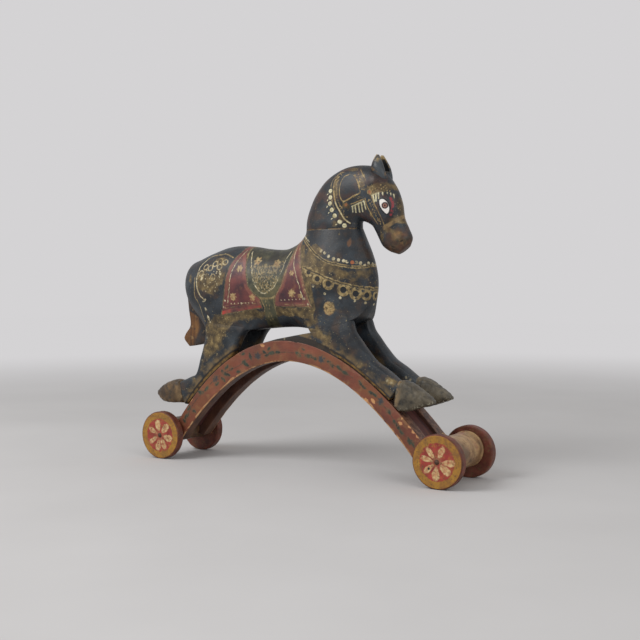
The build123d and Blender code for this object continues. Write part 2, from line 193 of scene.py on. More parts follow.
def skin(name, grid, layers):
    """A mesh in metres over a grid of points in millimetres: each cell is a four-sided face,
    the columns join up round the piece, and a fan to the mean of its points closes each end.
    The faces are turned outwards by the sign of the enclosed volume. Each layer gives every
    point a number."""
    rows, columns = grid.shape[:2]
    numbers = np.arange(rows * columns).reshape(rows, columns)
    after = np.roll(numbers, -1, 1)
    quads = np.stack([numbers[:-1], after[:-1], after[1:], numbers[1:]], -1).reshape(-1, 4)
    points = np.concatenate([grid.reshape(-1, 3), grid[[0, -1]].mean(1)]) / 1000
    hub = np.full(columns, rows * columns)
    first_fan = np.stack([hub, after[0], numbers[0]], -1)
    last_fan = np.stack([hub + 1, numbers[-1], after[-1]], -1)
    start, second, third = (points[quads[:, k]] for k in range(3))
    normals = np.cross(second - start, third - start)
    inside_out = np.einsum("ij,ij->", start - points.mean(0), normals) < 0
    faces = [part[:, ::-1] if inside_out else part for part in (quads, first_fan, last_fan)]
    mesh = bpy.data.meshes.new(name)
    mesh.from_pydata(points.tolist(), [], [face for part in faces for face in part.tolist()])
    for label, values in layers.items():
        values = values.reshape(rows, columns)
        values = np.concatenate([values.ravel(), values[[0, -1]].mean(1)]).astype(np.float32)
        mesh.attributes.new(label, "FLOAT", "POINT").data.foreach_set("value", values)
    mesh.shade_smooth()
    piece = bpy.data.objects.new(name, mesh)
    bpy.context.scene.collection.objects.link(piece)
    return piece


def close_finish(colour, roughness, height, bump_mm, shine=0.5, metal=0.0):
    """The main shader over a colour, a roughness and a height, as the material's surface."""
    bump = colour.node("Bump", None, {"Height": height, "Strength": 1.0, "Distance": bump_mm / 1000})
    sockets = {"Base Color": colour, "Roughness": roughness, "Normal": bump}
    constants = {"Specular IOR Level": shine, "Metallic": metal}
    shader = colour.node("BsdfPrincipled", None, {**sockets, **constants})
    colour.node("OutputMaterial", None, {"Surface": shader})


def finished(piece, material, body, node):
    """Gives a piece its material and its body, and hides the CAD node that it stands for."""
    piece.data.materials.append(material)
    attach(piece, body)
    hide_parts(node)


def eased(profile, step):
    """A polyline of (radius, depth) points, read at even steps of its length."""
    profile = np.array(profile, float)
    run = np.concatenate([[0], np.cumsum(np.hypot(*np.diff(profile, axis=0).T))])
    at = np.linspace(0, run[-1], int(run[-1] / step))
    return np.stack([np.interp(at, run, profile[:, 0]), np.interp(at, run, profile[:, 1])], 1)


def spun(profile, columns, x, y, z, way=1):
    """A profile of (radius, depth) points spun about a level axle: cosine and sine of the
    turn times the radius ahead and up, and the depth along the axle."""
    turn = np.linspace(0, 2 * math.pi, columns, endpoint=False)
    radius, depth = profile[:, :1], profile[:, 1:]
    across = y + way * depth + 0 * turn
    return np.stack([x + radius * np.cos(turn), across, z + radius * np.sin(turn)], -1), turn


def ripple(grid, size, depth, seed):
    """Points moved by a sum of six slow sine waves across space, for hand-cut unevenness."""
    random = np.random.default_rng(seed)
    waves = random.normal(size=(6, 3))
    waves *= 2 * math.pi / (size * np.linalg.norm(waves, axis=1))[:, None]
    phase = random.uniform(0, 2 * math.pi, 6)
    return depth * np.sin(grid @ waves.T + phase).sum(-1) / 6


def layer(place, label):
    """A number that the skin keeps at each of its points."""
    return place.node("Attribute", {"attribute_name": label}, out=2)


def painted(place, label, soft=0.5, shake=1.2, scale=300.0):
    """1 inside a painted shape, whose layer holds the distance to its edge in millimetres,
    with an edge that wavers as a brush does."""
    waver = (grain(place, scale, 2.0) - 0.5) * shake
    return 1 - (layer(place, label) + waver).within(-soft, soft)


def coated(colour, place, *coats):
    """A colour under thin coats (tint, scale, detail, low, high, share): each lies in the
    patches where soft noise of that scale and detail runs from low to high."""
    for tint, scale, detail, low, high, share in coats:
        colour = colour.mixed(tint, grain(place, scale, detail).within(low, high) * share)
    return colour


wheel_radius = 45.0
wheel_thickness = 16.5
wheel_edge = 2.5                # radius of its rounded edges
wheel_back = 53.0               # its inner face, from the middle of the toy
axle_x = 291.0
disc_radius = 0.70 * wheel_radius
ring_radius = 0.955 * wheel_radius
petal_middle = 19.0             # from the nail
petal_half_length = 10.5
petal_breadth = 6.0
petal_turns = {"front": (0, 66, 130, 168, 218, 265, 322), "rear": (-12, 46, 102, 155, 212, 258, 298)}
knot_ahead, knot_up, knot_radius = -14.5, -11.5, 2.3
nowhere = 9.0                   # a distance past the edge of every painted shape


def wheel_grid(x, side, seed, petals):
    """A turned disc: a profile of face, eased edge, rim and back, spun about the axle. Each
    petal is an oval that narrows towards the nail, and its angle makes it a little longer,
    shorter, broader or slimmer than the next."""
    half = wheel_thickness / 2
    arc = np.radians(np.linspace(0, 90, 7))
    front = [
        (wheel_radius - wheel_edge * (1 - math.sin(a)), half - wheel_edge * (1 - math.cos(a)))
        for a in arc
    ]
    back = [(r, -d) for r, d in front[::-1]]
    profile = eased([(0.6, half), *front, *back, (0.6, -half)], 1.05)
    grid, turn = spun(profile, 200, x, side * (wheel_back + half), wheel_radius, side)
    radius = profile[:, :1] + 0 * turn
    wear = np.clip(ripple(grid, 22, 0.5, seed), -1, 0) * (radius > 8)
    grid[..., 0] += wear * np.cos(turn)
    grid[..., 2] += wear * np.sin(turn)
    petal, vein = radius + 60, radius + 60
    for angle in petals:
        offset = turn - math.radians(angle)
        outward, across = radius * np.cos(offset), radius * np.sin(offset)
        middle = petal_middle + 1.3 * math.cos(angle)
        breadth = (petal_breadth + 1.1 * math.sin(angle)) * (0.45 + np.clip(outward, 0, 40) / 44)
        oval = np.hypot((outward - middle) / petal_half_length, across / breadth)
        petal = np.minimum(petal, (oval - 1) * 5)
        past_ends = np.clip(11 - outward, 0, 9) + np.clip(outward - 23, 0, 9)
        vein = np.minimum(vein, np.abs(across) - 0.6 + past_ends)
    knot = radius + nowhere
    if side < 0 < x:
        knot = np.hypot(radius * np.cos(turn) - knot_ahead, radius * np.sin(turn) - knot_up) - knot_radius
    depth = half - profile[:, 1:] + 0 * turn - 0.6
    disc, ring = radius - disc_radius, radius - ring_radius
    layers = {"disc": disc, "ring": ring, "petal": petal, "vein": vein, "knot": knot}
    return grid, {"radius": radius, **{name: np.maximum(shape, depth) for name, shape in layers.items()}}


wheel_material, place = open_finish("painted_wheel")
rim_red = grain(place, 60, 5.0).ramp(
    (0.3, (0.070, 0.020, 0.015)), (0.55, (0.150, 0.040, 0.026)), (0.75, (0.25, 0.075, 0.045)))
yellow = grain(place, 90, 6.0, distortion=0.6).ramp(
    (0.30, (0.34, 0.145, 0.004)), (0.50, (0.62, 0.300, 0.004)), (0.78, (0.72, 0.42, 0.020)))
red = grain(place, 75, 4.0).ramp((0.3, (0.23, 0.028, 0.026)), (0.7, (0.42, 0.060, 0.045)))
cream = grain(place, 160, 4.0).ramp(
    (0.3, (0.36, 0.17, 0.08)), (0.5, (0.60, 0.40, 0.19)), (0.75, (0.70, 0.56, 0.32)))
ring, petals = painted(place, "ring"), painted(place, "petal", 0.7, 3.4, 210)
colour = rim_red.mixed(yellow, ring)
rimmed = ring * layer(place, "ring").within(-2.2, -0.8)
colour = colour.mixed((0.20, 0.10, 0.05), rimmed * 0.6)
colour = colour.mixed(red, painted(place, "disc", shake=3.4, scale=160))
colour = colour.mixed(cream, petals)
colour = colour.mixed((0.5, 0.15, 0.07), painted(place, "vein", shake=1.0) * petals * 0.6)
heart = (1 - layer(place, "radius").within(7.0, 13.0)) * grain(place, 130, 4.0).within(0.40, 0.60)
colour = colour.mixed((0.34, 0.15, 0.08), heart * painted(place, "disc") * 0.8)
colour = colour.mixed((0.018, 0.022, 0.016), painted(place, "knot"))
flecks = grain(place, 330, 5.0).within(0.54, 0.66) * grain(place, 70, 2.0).within(0.36, 0.55)
colour = colour.mixed((0.13, 0.080, 0.030), flecks * 0.85)
smudges, dirt = (0.19, 0.095, 0.040), (0.10, 0.06, 0.035)
colour = coated(colour, place, (smudges, 110, 5.0, 0.54, 0.68, 0.36), (dirt, 35, 5.0, 0.5, 0.75, 0.35))
height = petals * 0.5 + grain(place, 700) * 0.5 + flecks * -0.6
close_finish(colour, grain(place, 120).within(-0.2, 1.6) * 0.5 + 0.32, height, 0.25, 0.3)

for end_name, end in ENDS:
    for side_name, side in SIDES:
        wheel_name = f"wheel_{end_name}_{side_name}"
        grid, layers = wheel_grid(end * axle_x, side, 3 + end + 2 * side, petal_turns[end_name])
        wheel = skin("painted_" + wheel_name, grid, layers)
        finished(wheel, wheel_material, wheel_name + "_body", wheel_name)


# ---- Axle nails ----
# Hand-forged iron nails, driven through the middle of each wheel into the end of its beam.
# The wheel turns on the shank, and the round head keeps it on.
iron_material, place = open_finish("forged_iron")
rust = grain(place, 500, 5.0)
colour = rust.ramp((0.3, (0.035, 0.028, 0.025)), (0.75, (0.16, 0.075, 0.04)))
close_finish(colour, rust.within(-0.5, 1.5) * 0.5 + 0.35, rust, 0.2, metal=0.55)
for end_name, _ in ENDS:
    for side_name, _ in SIDES:
        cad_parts[f"axle_pin_{end_name}_{side_name}"].data.materials[0] = iron_material


# ---- Axle beams ----
# Two turned wooden rollers, with the rails coped over them and dowelled. The front one is
# thick, with a bead at each end, in cream and ochre with loose swirls; the rear one is thin
# and brown.
HORSE = "horse_and_base"
beam_end = 50.0
beam_z = 51.0
roller_radius = {"front": 29.5, "rear": 23.5}
for end_name, end in ENDS:
    roller_material, place = open_finish(end_name + "_roller_paint")
    colour = grain(place, 19, 2.5, (1, 0.8, 1), 0.9).ramp(
        (0.30, (0.12, 0.075, 0.033)), (0.40, (0.27, 0.15, 0.066)), (0.49, (0.43, 0.27, 0.12)),
        (0.56, (0.34, 0.12, 0.06)), (0.62, (0.41, 0.26, 0.115)), (0.72, (0.12, 0.098, 0.053)))
    streak = grain(place, 70, 4.0, (3, 0.5, 3)).within(0.50, 0.70)
    colour = colour.mixed((0.20, 0.10, 0.05), streak * 0.6)
    dirt = grain(place, 120, 5.0).within(0.50, 0.72)
    colour = colour.mixed((0.08, 0.055, 0.032), dirt * 0.5)
    if end_name == "rear":
        brown = grain(place, 45, 5.0).ramp((0.35, (0.030, 0.015, 0.010)), (0.7, (0.120, 0.055, 0.022)))
        colour = colour.mixed(brown, 0.82)
    close_finish(colour, dirt * 0.3 + 0.42, grain(place, 500, 4.0) + streak * -0.5, 0.3)
    thick = roller_radius[end_name]
    arc = np.radians(np.linspace(0, 180, 9))
    bead = [(thick + 1.5 * math.sin(a), beam_end - 3 + 3 * math.cos(a)) for a in arc]
    groove = [(thick - 0.7, beam_end - 7), (thick, beam_end - 8.5)]
    half_profile = [(0.6, beam_end), (thick - 1, beam_end), *bead, *groove]
    profile = eased(half_profile + [(r, -d) for r, d in half_profile[::-1]], 1.6)
    grid, _ = spun(profile, 120, end * axle_x, 0, beam_z)
    roller = skin(end_name + "_roller", grid, {})
    finished(roller, roller_material, HORSE, end_name + "_axle_beam")


# ---- Rails ----
# Two arches sawn from thick board, painted terracotta on every face, with a garland of green
# leaves and blue-grey rosettes on the outside. Every other face is darkened almost to black,
# a painted shade. Their edges are chipped to the bare wood, and dowels hold them to the beams.
def flow(rows, step=None, count=None):
    """Rows of numbers run on as smooth curves: each stretch is the cubic through its four
    neighbours, read at even steps of the first four columns' mean length."""
    rows = np.asarray(rows, float)
    rows = np.vstack([2 * rows[0] - rows[1], rows, 2 * rows[-1] - rows[-2]])

    def read(at):
        low = np.minimum(at.astype(int), len(rows) - 4)
        share = (at - low)[:, None]
        before, start, end, after = (rows[low + k] for k in range(4))
        bend = 2 * before - 5 * start + 4 * end - after
        twist = 3 * start - before - 3 * end + after
        return start + (share * (end - before) + share**2 * bend + share**3 * twist) / 2

    fine = np.linspace(0, len(rows) - 3, 40 * len(rows))
    width = min(4, rows.shape[1])
    run = np.abs(np.diff(read(fine)[:, :width], axis=0)).sum(1) / (width / 2)
    run = np.concatenate([[0], np.cumsum(run)])
    steps = count or int(run[-1] / step)
    return read(np.interp(np.linspace(0, run[-1], steps), run, fine))


crest = 232.0                   # the height of the arch
rail_outer, rail_inner = 47.0, 21.5
rail_middle = (rail_outer + rail_inner) / 2
rail_thickness = rail_outer - rail_inner


def arch_curve(share, half_span, foot_z, setback, crest_x, crest_z):
    """A parabola through two feet whose middle is the crest, as a three-point curve."""
    rear, front = -half_span - setback, half_span - setback
    peak_x, peak_z = 2 * crest_x - (rear + front) / 2, 2 * crest_z - foot_z
    a, b, c = (1 - share) ** 2, 2 * share * (1 - share), share**2
    return np.stack([a * rear + b * peak_x + c * front, a * foot_z + b * peak_z + c * foot_z], 1)


def top_curve(share):
    """The rail's upper edge, which ends over the beams."""
    return arch_curve(share, half_span=axle_x - 11, foot_z=45, setback=3.5, crest_x=-20, crest_z=crest)


def rail_top(x):
    """The height of the upper edge at any place along the toy."""
    return np.interp(x, *top_curve(np.linspace(0, 1, 2000)).T)


def oblong(upper, lower, y, thickness, corner, columns):
    """Rounded oblong slices between upper and lower points: a smaller box grown by a ball,
    whose flats come from a clipped circle."""
    turn = np.linspace(0, 2 * math.pi, columns, endpoint=False)
    deep = np.hypot(*(upper - lower).T)[:, None] / 2
    y, thickness, corner = (np.broadcast_to(each, len(deep))[:, None] for each in (y, thickness, corner))
    half = thickness / 2
    corner = np.minimum(corner, 0.9 * np.minimum(deep, half))
    reach = np.clip(1.7 * np.cos(turn), -1, 1) * (deep - corner) + corner * np.cos(turn)
    out = np.clip(1.7 * np.sin(turn), -1, 1) * (half - corner) + corner * np.sin(turn)
    flat = ((upper + lower) / 2)[:, None] + ((upper - lower) / (2 * deep))[:, None] * reach[..., None]
    return np.stack([flat[..., 0], y + out, flat[..., 1]], -1)


def leaf(spots, centre, turn, length, width):
    """Distance to the nearest of some pointed leaves: how far out a spot is across one, over
    the leaf's half width there."""
    offset = spots[:, None] - centre
    along = offset[..., 0] * np.cos(turn) + offset[..., 1] * np.sin(turn)
    across = offset[..., 1] * np.cos(turn) - offset[..., 0] * np.sin(turn)
    return (np.abs(across) - width / 2 * (1 - (2 * along / length) ** 2)).min(1)


def star(spots, centre, radius, petals, turn=0.0):
    """Distance to a flower: its edge swings in and out once for each petal."""
    offset = spots - centre
    angle = np.arctan2(offset[:, 1], offset[:, 0]) - turn
    edge = radius * (0.60 + 0.40 * np.abs(np.cos(petals / 2 * angle)))
    return np.hypot(*offset.T) - edge


def to_line(spots, line):
    """Distance from each spot to the nearest stretch of a polyline, flat or in space."""
    line = np.asarray(line, float)
    run = np.diff(line, axis=0)
    offset = spots[:, None] - line[:-1]
    share = np.clip((offset * run).sum(-1) / np.maximum((run**2).sum(-1), 1e-9), 0, 1)
    return np.linalg.norm(offset - share[..., None] * run, axis=-1).min(1)


def to_spots(spots, centres):
    """Distance from each spot to the nearest of some centres."""
    return np.linalg.norm(spots[:, None] - np.asarray(centres, float), axis=-1).min(1)


def bend(points, count=30):
    """A smooth line through a few points."""
    return flow(points, count=count)


def patches(spots, blobs):
    """Soft blobs (x, z, half length, half height, strength): bell curves added up."""
    total = np.zeros(len(spots))
    for x, z, wide, high, strength in blobs:
        total += strength * np.exp(-(((spots[:, 0] - x) / wide) ** 2) - ((spots[:, 1] - z) / high) ** 2)
    return total


def least(*fields):
    """The distance to the nearest of several shapes."""
    return np.minimum.reduce(fields)


garland = [
    (-238, 98, 1.0, 13), (-226, 93, -0.5, 12), (-243, 83, 0.8, 17), (-249, 73, -0.9, 10),
    (-209, 129, -0.1, 17), (-195, 137, 1.0, 15), (-171, 147, 0.6, 13), (-156, 156, -0.7, 13),
    (-148, 179, 0.8, 13), (-156, 169, -0.9, 14), (-146, 165, -0.2, 15), (-137, 176, 0.6, 9),
    (-121, 172, 0.2, 11), (-110, 205, 0.3, 9), (-94, 201, -1.2, 14), (-109, 191, 0.9, 12),
    (-104, 186, -0.4, 16), (-63, 210, -0.6, 10), (-58, 204, 0.3, 11), (-53, 216, 0.8, 10),
    (-46, 209, 0.2, 17), (-34, 211, 0.0, 13), (10, 209, -0.6, 15), (21, 218, -0.3, 8), (33, 206, -0.1, 21),
    (44, 203, -0.5, 14), (79, 193, -1.0, 14), (72, 198, -0.3, 7), (94, 188, -0.7, 13), (106, 180, -0.4, 14),
    (136, 164, -0.9, 11), (143, 157, -0.6, 10), (158, 148, -0.4, 14), (165, 144, -0.5, 10),
    (191, 119, -1.0, 13), (202, 102, -0.8, 11), (208, 95, -1.1, 14), (214, 86, -1.0, 11),
    (229, 72, -1.2, 15), (236, 69, -1.1, 13),
]
stem = [
    (-246, 76), (-226, 108), (-198, 135), (-174, 156), (-150, 170), (-118, 184), (-94, 198), (-60, 208),
    (-20, 211), (20, 210), (59, 201), (98, 185), (140, 160), (175, 134), (200, 106), (222, 80), (240, 60),
]
rosettes = [(-174, 156), (-77, 202), (59, 201), (175, 134)]
chip_spots = [
    (217, 110), (213, 101), (231, 96), (238, 88), (245, 82), (161, 135), (146, 136), (-233, 114),
    (-66, 222),
]
edge_wear = [
    (152, 128, 14, 9, 3.5), (205, 72, 16, 14, 2.5), (-215, 100, 22, 22, 2.0), (-130, 160, 20, 14, 1.5),
    (60, 178, 12, 8, 1.5),
]


def rail_grid(side):
    """The rail between its two curves, with layers in millimetres down from its top edge, up
    from its lower edge, and to the painted leaves, rosettes and chips."""
    share, columns = np.linspace(0, 1, 430), 88
    upper = top_curve(share)
    lower = arch_curve(
        share, half_span=axle_x - 41.5, foot_z=36, setback=8, crest_x=-12, crest_z=crest - 37)
    grid = oblong(upper, lower, side * rail_middle, rail_thickness, 1.8, columns)
    chip = np.clip(ripple(grid, 26, 2.2, 5 + side) - 0.5, 0, 1)
    turn = np.linspace(0, 2 * math.pi, columns, endpoint=False)
    grid[..., 1] -= np.sign(np.sin(turn)) * chip * np.abs(np.sin(2 * turn)) ** 3
    plan = grid[..., ::2]
    down, up = (np.linalg.norm(plan - edge[:, None], axis=-1).ravel() for edge in (upper, lower))
    spots = plan.reshape(-1, 2)
    strokes, chips = np.array(garland), np.array(chip_spots)
    leaves = leaf(spots, strokes[:, :2], strokes[:, 2], strokes[:, 3], 2.2 + 0.24 * strokes[:, 3])
    stalk = to_line(spots, bend(stem, 60)) - 0.5
    flowers = least(*[star(spots, at, 7.0, 6, at[0]) for at in rosettes])
    hearts = to_spots(spots, rosettes) - 1.8
    outward = side * grid[..., 1].ravel()
    off_face, off_edge = (np.where(outward > rail_outer - depth, 0.0, nowhere) for depth in (1.2, 2.4))
    return grid, {
        "leaf": least(np.maximum(least(leaves, stalk), 1.5 - flowers), hearts) + off_face,
        "flower": flowers + off_face,
        "halo": least(leaves, flowers) + off_face,
        "chip": leaf(spots, chips, chips[:, 0] * 0.37 - 0.8, 11.0, 6.0) + off_face,
        "down": down,
        "up": up - patches(spots, edge_wear),
        "outer": off_edge,
    }


def gloss(place, rough, spread=0.3, detail=4.0):
    """The roughness of old varnish: this much, and more in large soft patches."""
    return grain(place, 60, detail).within(-0.3, 1.4) * spread + rough


rail_material, place = open_finish("painted_rail")
colour = grain(place, 26, 6.0).ramp(
    (0.3, (0.094, 0.025, 0.015)), (0.5, (0.176, 0.046, 0.025)), (0.72, (0.250, 0.081, 0.041)))
streak = grain(place, 90, 5.0, (0.3, 3, 1)).within(0.45, 0.75)
colour = colour.mixed((0.110, 0.045, 0.030), streak * 0.5)
ochre = grain(place, 45, 4.0, distortion=1.0).within(0.56, 0.70)
colour = colour.mixed((0.27, 0.150, 0.058), ochre * 0.55)
colour = coated(colour, place, ((0.215, 0.074, 0.025), 11, 3.0, 0.46, 0.60, 0.6))
halo = 1 - (layer(place, "halo") + (grain(place, 90, 4.0) - 0.5) * 9).within(-1.5, 4.0)
colour = colour.mixed((0.120, 0.085, 0.042), halo * 0.6)
leaves = painted(place, "leaf", 0.8, 2.6, 200)
worn = grain(place, 200, 4.0).within(0.66, 0.50)
green = grain(place, 80).ramp((0.3, (0.012, 0.018, 0.014)), (0.75, (0.055, 0.070, 0.042)))
colour = colour.mixed(green, leaves * worn)
colour = colour.mixed((0.034, 0.040, 0.047), painted(place, "flower", 0.9, 4.0, 200) * worn * 0.9)
# Painted shade: every face but the outer one is darkened almost to black.
inner = layer(place, "outer").within(2, 5)
dark = grain(place, 36, 5.0, (1, 0.4, 1)).ramp((0.35, (0.028, 0.012, 0.010)), (0.7, (0.095, 0.038, 0.020)))
colour = colour.mixed(dark, inner * 0.92)
lower_edge = layer(place, "up") + (grain(place, 60, 4.0) - 0.5) * 7
bare = (1 - lower_edge.within(1.4, 2.6)) * grain(place, 75, 4.0).within(0.40, 0.50) * (1 - inner)
under = (1 - layer(place, "up").within(0.8, 1.6)) * inner
scraped = under * grain(place, 60, 5.0, (0.5, 2, 0.5)).within(0.42, 0.62)
colour = colour.mixed((0.13, 0.060, 0.030), scraped * 0.7)
bare_tone = grain(place, 120, 4.0).ramp((0.3, (0.36, 0.15, 0.055)), (0.7, (0.66, 0.40, 0.19)))
colour = colour.mixed(bare_tone, bare * 0.9)
upper_edge = layer(place, "down") + (grain(place, 70, 4.0) - 0.5) * 6
rubbed_crest = (1 - upper_edge.within(0.5, 2.0)) * grain(place, 110, 4.0).within(0.47, 0.56)
colour = colour.mixed((0.22, 0.105, 0.060), rubbed_crest * 0.7)
chips = painted(place, "chip", 0.6, 8.0, 120)
colour = colour.mixed((0.60, 0.30, 0.12), chips * 0.85)
colour = coated(colour, place, ((0.050, 0.026, 0.020), 18, 5.0, 0.50, 0.74, 0.45))
height = leaves * 0.3 - bare - chips * 0.8 + grain(place, 320, 5.0, (0.4, 2, 1)) * 0.8
close_finish(colour, gloss(place, 0.36, 0.35, 3.0), height, 0.4, 0.45)
for side_name, side in SIDES:
    rail = skin("painted_rail_" + side_name, *rail_grid(side))
    finished(rail, rail_material, HORSE, "arch_rail_" + side_name)


# ---- Well board ----
# A wooden board bent to the arch and let in between the rails, where it is glued. It is
# brushed with dark maroon.
well_material, place = open_finish("maroon_board")
tint = grain(place, 40, 6.0, (0.5, 3, 0.5))
colour = tint.ramp((0.3, (0.035, 0.012, 0.010)), (0.6, (0.085, 0.022, 0.018)), (0.8, (0.16, 0.06, 0.03)))
close_finish(colour, tint * 0.3 + 0.5, tint, 0.5)
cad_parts["well_board"].data.materials[0] = well_material


# ---- Torso ----
# One carved block of rump, barrel, chest and neck stump. It is painted blue-black, rubbed
# to ochre where hands go, with red saddle cloths, a flowered saddle and girth, a collar of
# rings and beads, and a flowered rump. The tops of the legs are pegged into it, and swell.
def oval_grid(stations, columns, step):
    """Oval slices (upper x, upper height, lower x, lower height, half width): each point is
    the slice's middle plus a cosine up and down it and a sine across it."""
    rows = flow(stations, step)
    turn = np.linspace(0, 2 * math.pi, columns, endpoint=False)
    upper, lower = rows[:, :2] + (0, crest), rows[:, 2:4] + (0, crest)
    mix = (1 + np.cos(turn))[None, :, None] / 2
    flat = lower[:, None] + mix * (upper - lower)[:, None]
    return np.stack([flat[..., 0], rows[:, 4:5] * np.sin(turn), flat[..., 1]], -1)


def region(spots, outline):
    """Distance to a closed outline, less than 0 inside it: inside is an odd count of sides
    that a level ray from the spot crosses."""
    outline = np.asarray(outline, float)
    after = np.roll(outline, -1, 0)
    x, z = spots[:, :1], spots[:, 1:]
    rise = np.where(after[:, 1] == outline[:, 1], 1e-9, after[:, 1] - outline[:, 1])
    crossing = (outline[:, 1] > z) != (after[:, 1] > z)
    crossing &= x < outline[:, 0] + (after[:, 0] - outline[:, 0]) * (z - outline[:, 1]) / rise
    distance = to_line(spots, np.vstack([outline, outline[:1]]))
    return np.where(crossing.sum(1) % 2 == 1, -distance, distance)


def laid(space, points):
    """Points moved to the nearest points of a skin."""
    return np.array([space[np.argmin(((space - point) ** 2).sum(1))] for point in points])


def scattered(outline, spacing, seed):
    """Points of a grid moved a little at random, where they lie inside an outline."""
    random = np.random.default_rng(seed)
    low, high = np.min(outline, axis=0), np.max(outline, axis=0)
    x, z = np.meshgrid(np.arange(low[0], high[0], spacing), np.arange(low[1], high[1], spacing))
    points = np.stack([x.ravel(), z.ravel()], 1)
    points += random.uniform(-0.38, 0.38, points.shape) * spacing
    return points[region(points, outline) < -0.35 * spacing]


def on_right(grid):
    """The points of a skin, with those of its left side mirrored to the right, and the same
    points seen from the side. Both sides carry the same painting, which is set out there."""
    points = grid.reshape(-1, 3).copy()
    points[:, 1] = -np.abs(points[:, 1])
    return points, points[:, ::2]


def blackened(place, warm=None):
    """Old blue-black paint, mottled, with lighter blue-grey patches and smears that are a painted
    sheen, brown where it is thin, and rubbed to ochre, with dark specks left, where the warm
    layer is high. Gives a colour and the share that is ochre, or brown where nothing is warm."""
    # Mottled blue-black paint. Its lighter blue-grey patches are partly a painted sheen.
    colour = grain(place, 22, 5.0, distortion=0.5).ramp(
        (0.30, (0.006, 0.007, 0.009)), (0.52, (0.016, 0.021, 0.027)), (0.74, (0.050, 0.062, 0.074)))
    # Painted sheen: smears of blue-grey over the black paint.
    sheen_smear = grain(place, 34, 5.0, (0.5, 1, 0.5), 0.8).within(0.52, 0.70)
    colour = colour.mixed((0.056, 0.070, 0.082), sheen_smear * 0.45)
    brown = grain(place, 48, 5.0).within(0.52, 0.70)
    colour = colour.mixed((0.065, 0.034, 0.018), brown * 0.65)
    if warm is None:
        return colour, brown
    patchy = (grain(place, 75, 5.0, distortion=0.4) - 0.5) * 1.5
    rubbed = (warm + patchy).within(0.38, 0.72)
    ochre = grain(place, 95, 6.0).ramp(
        (0.28, (0.045, 0.030, 0.014)), (0.5, (0.145, 0.098, 0.038)), (0.75, (0.33, 0.235, 0.095)))
    colour = colour.mixed(ochre, rubbed * 0.9)
    left_dark = rubbed * grain(place, 58, 5.0, distortion=0.5).within(0.50, 0.64)
    colour = colour.mixed((0.040, 0.027, 0.015), left_dark * 0.7)
    colour = coated(colour, place, ((0.018, 0.018, 0.016), 420, 3.0, 0.60, 0.66, 0.6))
    gold = grain(place, 360).within(0.655, 0.70) * warm.within(-0.1, 0.35)
    return colour.mixed((0.42, 0.33, 0.16), gold * 0.8), rubbed


torso_half, neck_half = 53.0, 31.0
torso_stations = [
    (-265, 118, -260, 74, 0.42), (-254, 139, -246, 48, 0.72), (-232, 148, -223, 30, 0.89),
    (-203, 159, -197, 18, 0.98), (-163, 170, -157, 12, 1.0), (-120, 170, -117, 14, 1.0),
    (-76, 164, -72, 19, 0.97), (-42, 163, -27, 22, 0.95), (-20, 170, 20, 21, 0.94),
    (-9, 177, 64, 21, 0.93), (-4, 182, 103, 30, 0.91), (-1, 186, 130, 50, 0.88),
    (1, 189, 143, 91, 0.82), (2, 192, 137, 139, 0.72), (2, 196, 113, 198, neck_half / torso_half),
]

# The legs' own rows come here, because the torso swells to meet them.
leg_tops = {
    "fore": [(96, 72, 2, 62, 18.6, 0.82), (112, 42, 20, 30, 28.5, 0.94)],
    "hind": [(-206, 84, -122, 58, 18.6, 0.86), (-206, 44, -103, 26, 29.4, 0.96)],
}
leg_root = {"fore": 30.0, "hind": -110.0}
fetlock = {"fore": 188.0, "hind": -247.0}
leg_steps = {
    "fore": [(0.563, 64, 0.165, -6), (0.633, 56, 0.348, -6), (0.715, 48, 0.525, -6),
             (0.829, 42, 0.684, -6), (0.975, 46, 0.823, -6), (1.158, 51, 1.0, -2)],
    "hind": [(0.664, 99, 0.066, 26), (0.686, 78, 0.263, -6), (0.745, 60, 0.438, -6),
             (0.818, 40, 0.657, -6), (0.934, 50, 0.810, -6), (1.088, 68, 1.0, 8)],
}
leg_thickness = 30.0


def leg_grid(which, side, step=1.5, sunk=0.0):
    """Rounded oblong slices down the leg: the first are above the arch's crest, the others
    a share of the way from the root to the fetlock and a lift over the rail's top edge. The
    top may be thinned by a sunk depth, so that it ends inside the torso, and the foot is
    drawn in by a fifth where it stands on the rail."""
    run = fetlock[which] - leg_root[which]
    middle = side * rail_middle
    rows = [(a, b + crest, c, d + crest, t, middle * s) for a, b, c, d, t, s in leg_tops[which]]
    for share, lift, low_share, low_lift in leg_steps[which]:
        x, low_x = leg_root[which] + share * run, leg_root[which] + low_share * run
        rows.append((x, rail_top(x) + lift, low_x, rail_top(low_x) + low_lift, leg_thickness, middle))
    smooth = flow(rows, step)
    corner = np.linspace(16.0, 9.0, len(smooth))
    buried = np.clip((smooth[:, 1] - crest - 26) / 30, 0, 1) * sunk
    grid = oblong(smooth[:, :2], smooth[:, 2:4], smooth[:, 5], smooth[:, 4] - 2 * buried, corner, 132)
    foot = np.clip((10 - grid[..., 2] + rail_top(grid[..., 0])) / 8, 0, 1)
    grid[..., 1] += 0.22 * foot * (middle - grid[..., 1])
    return grid


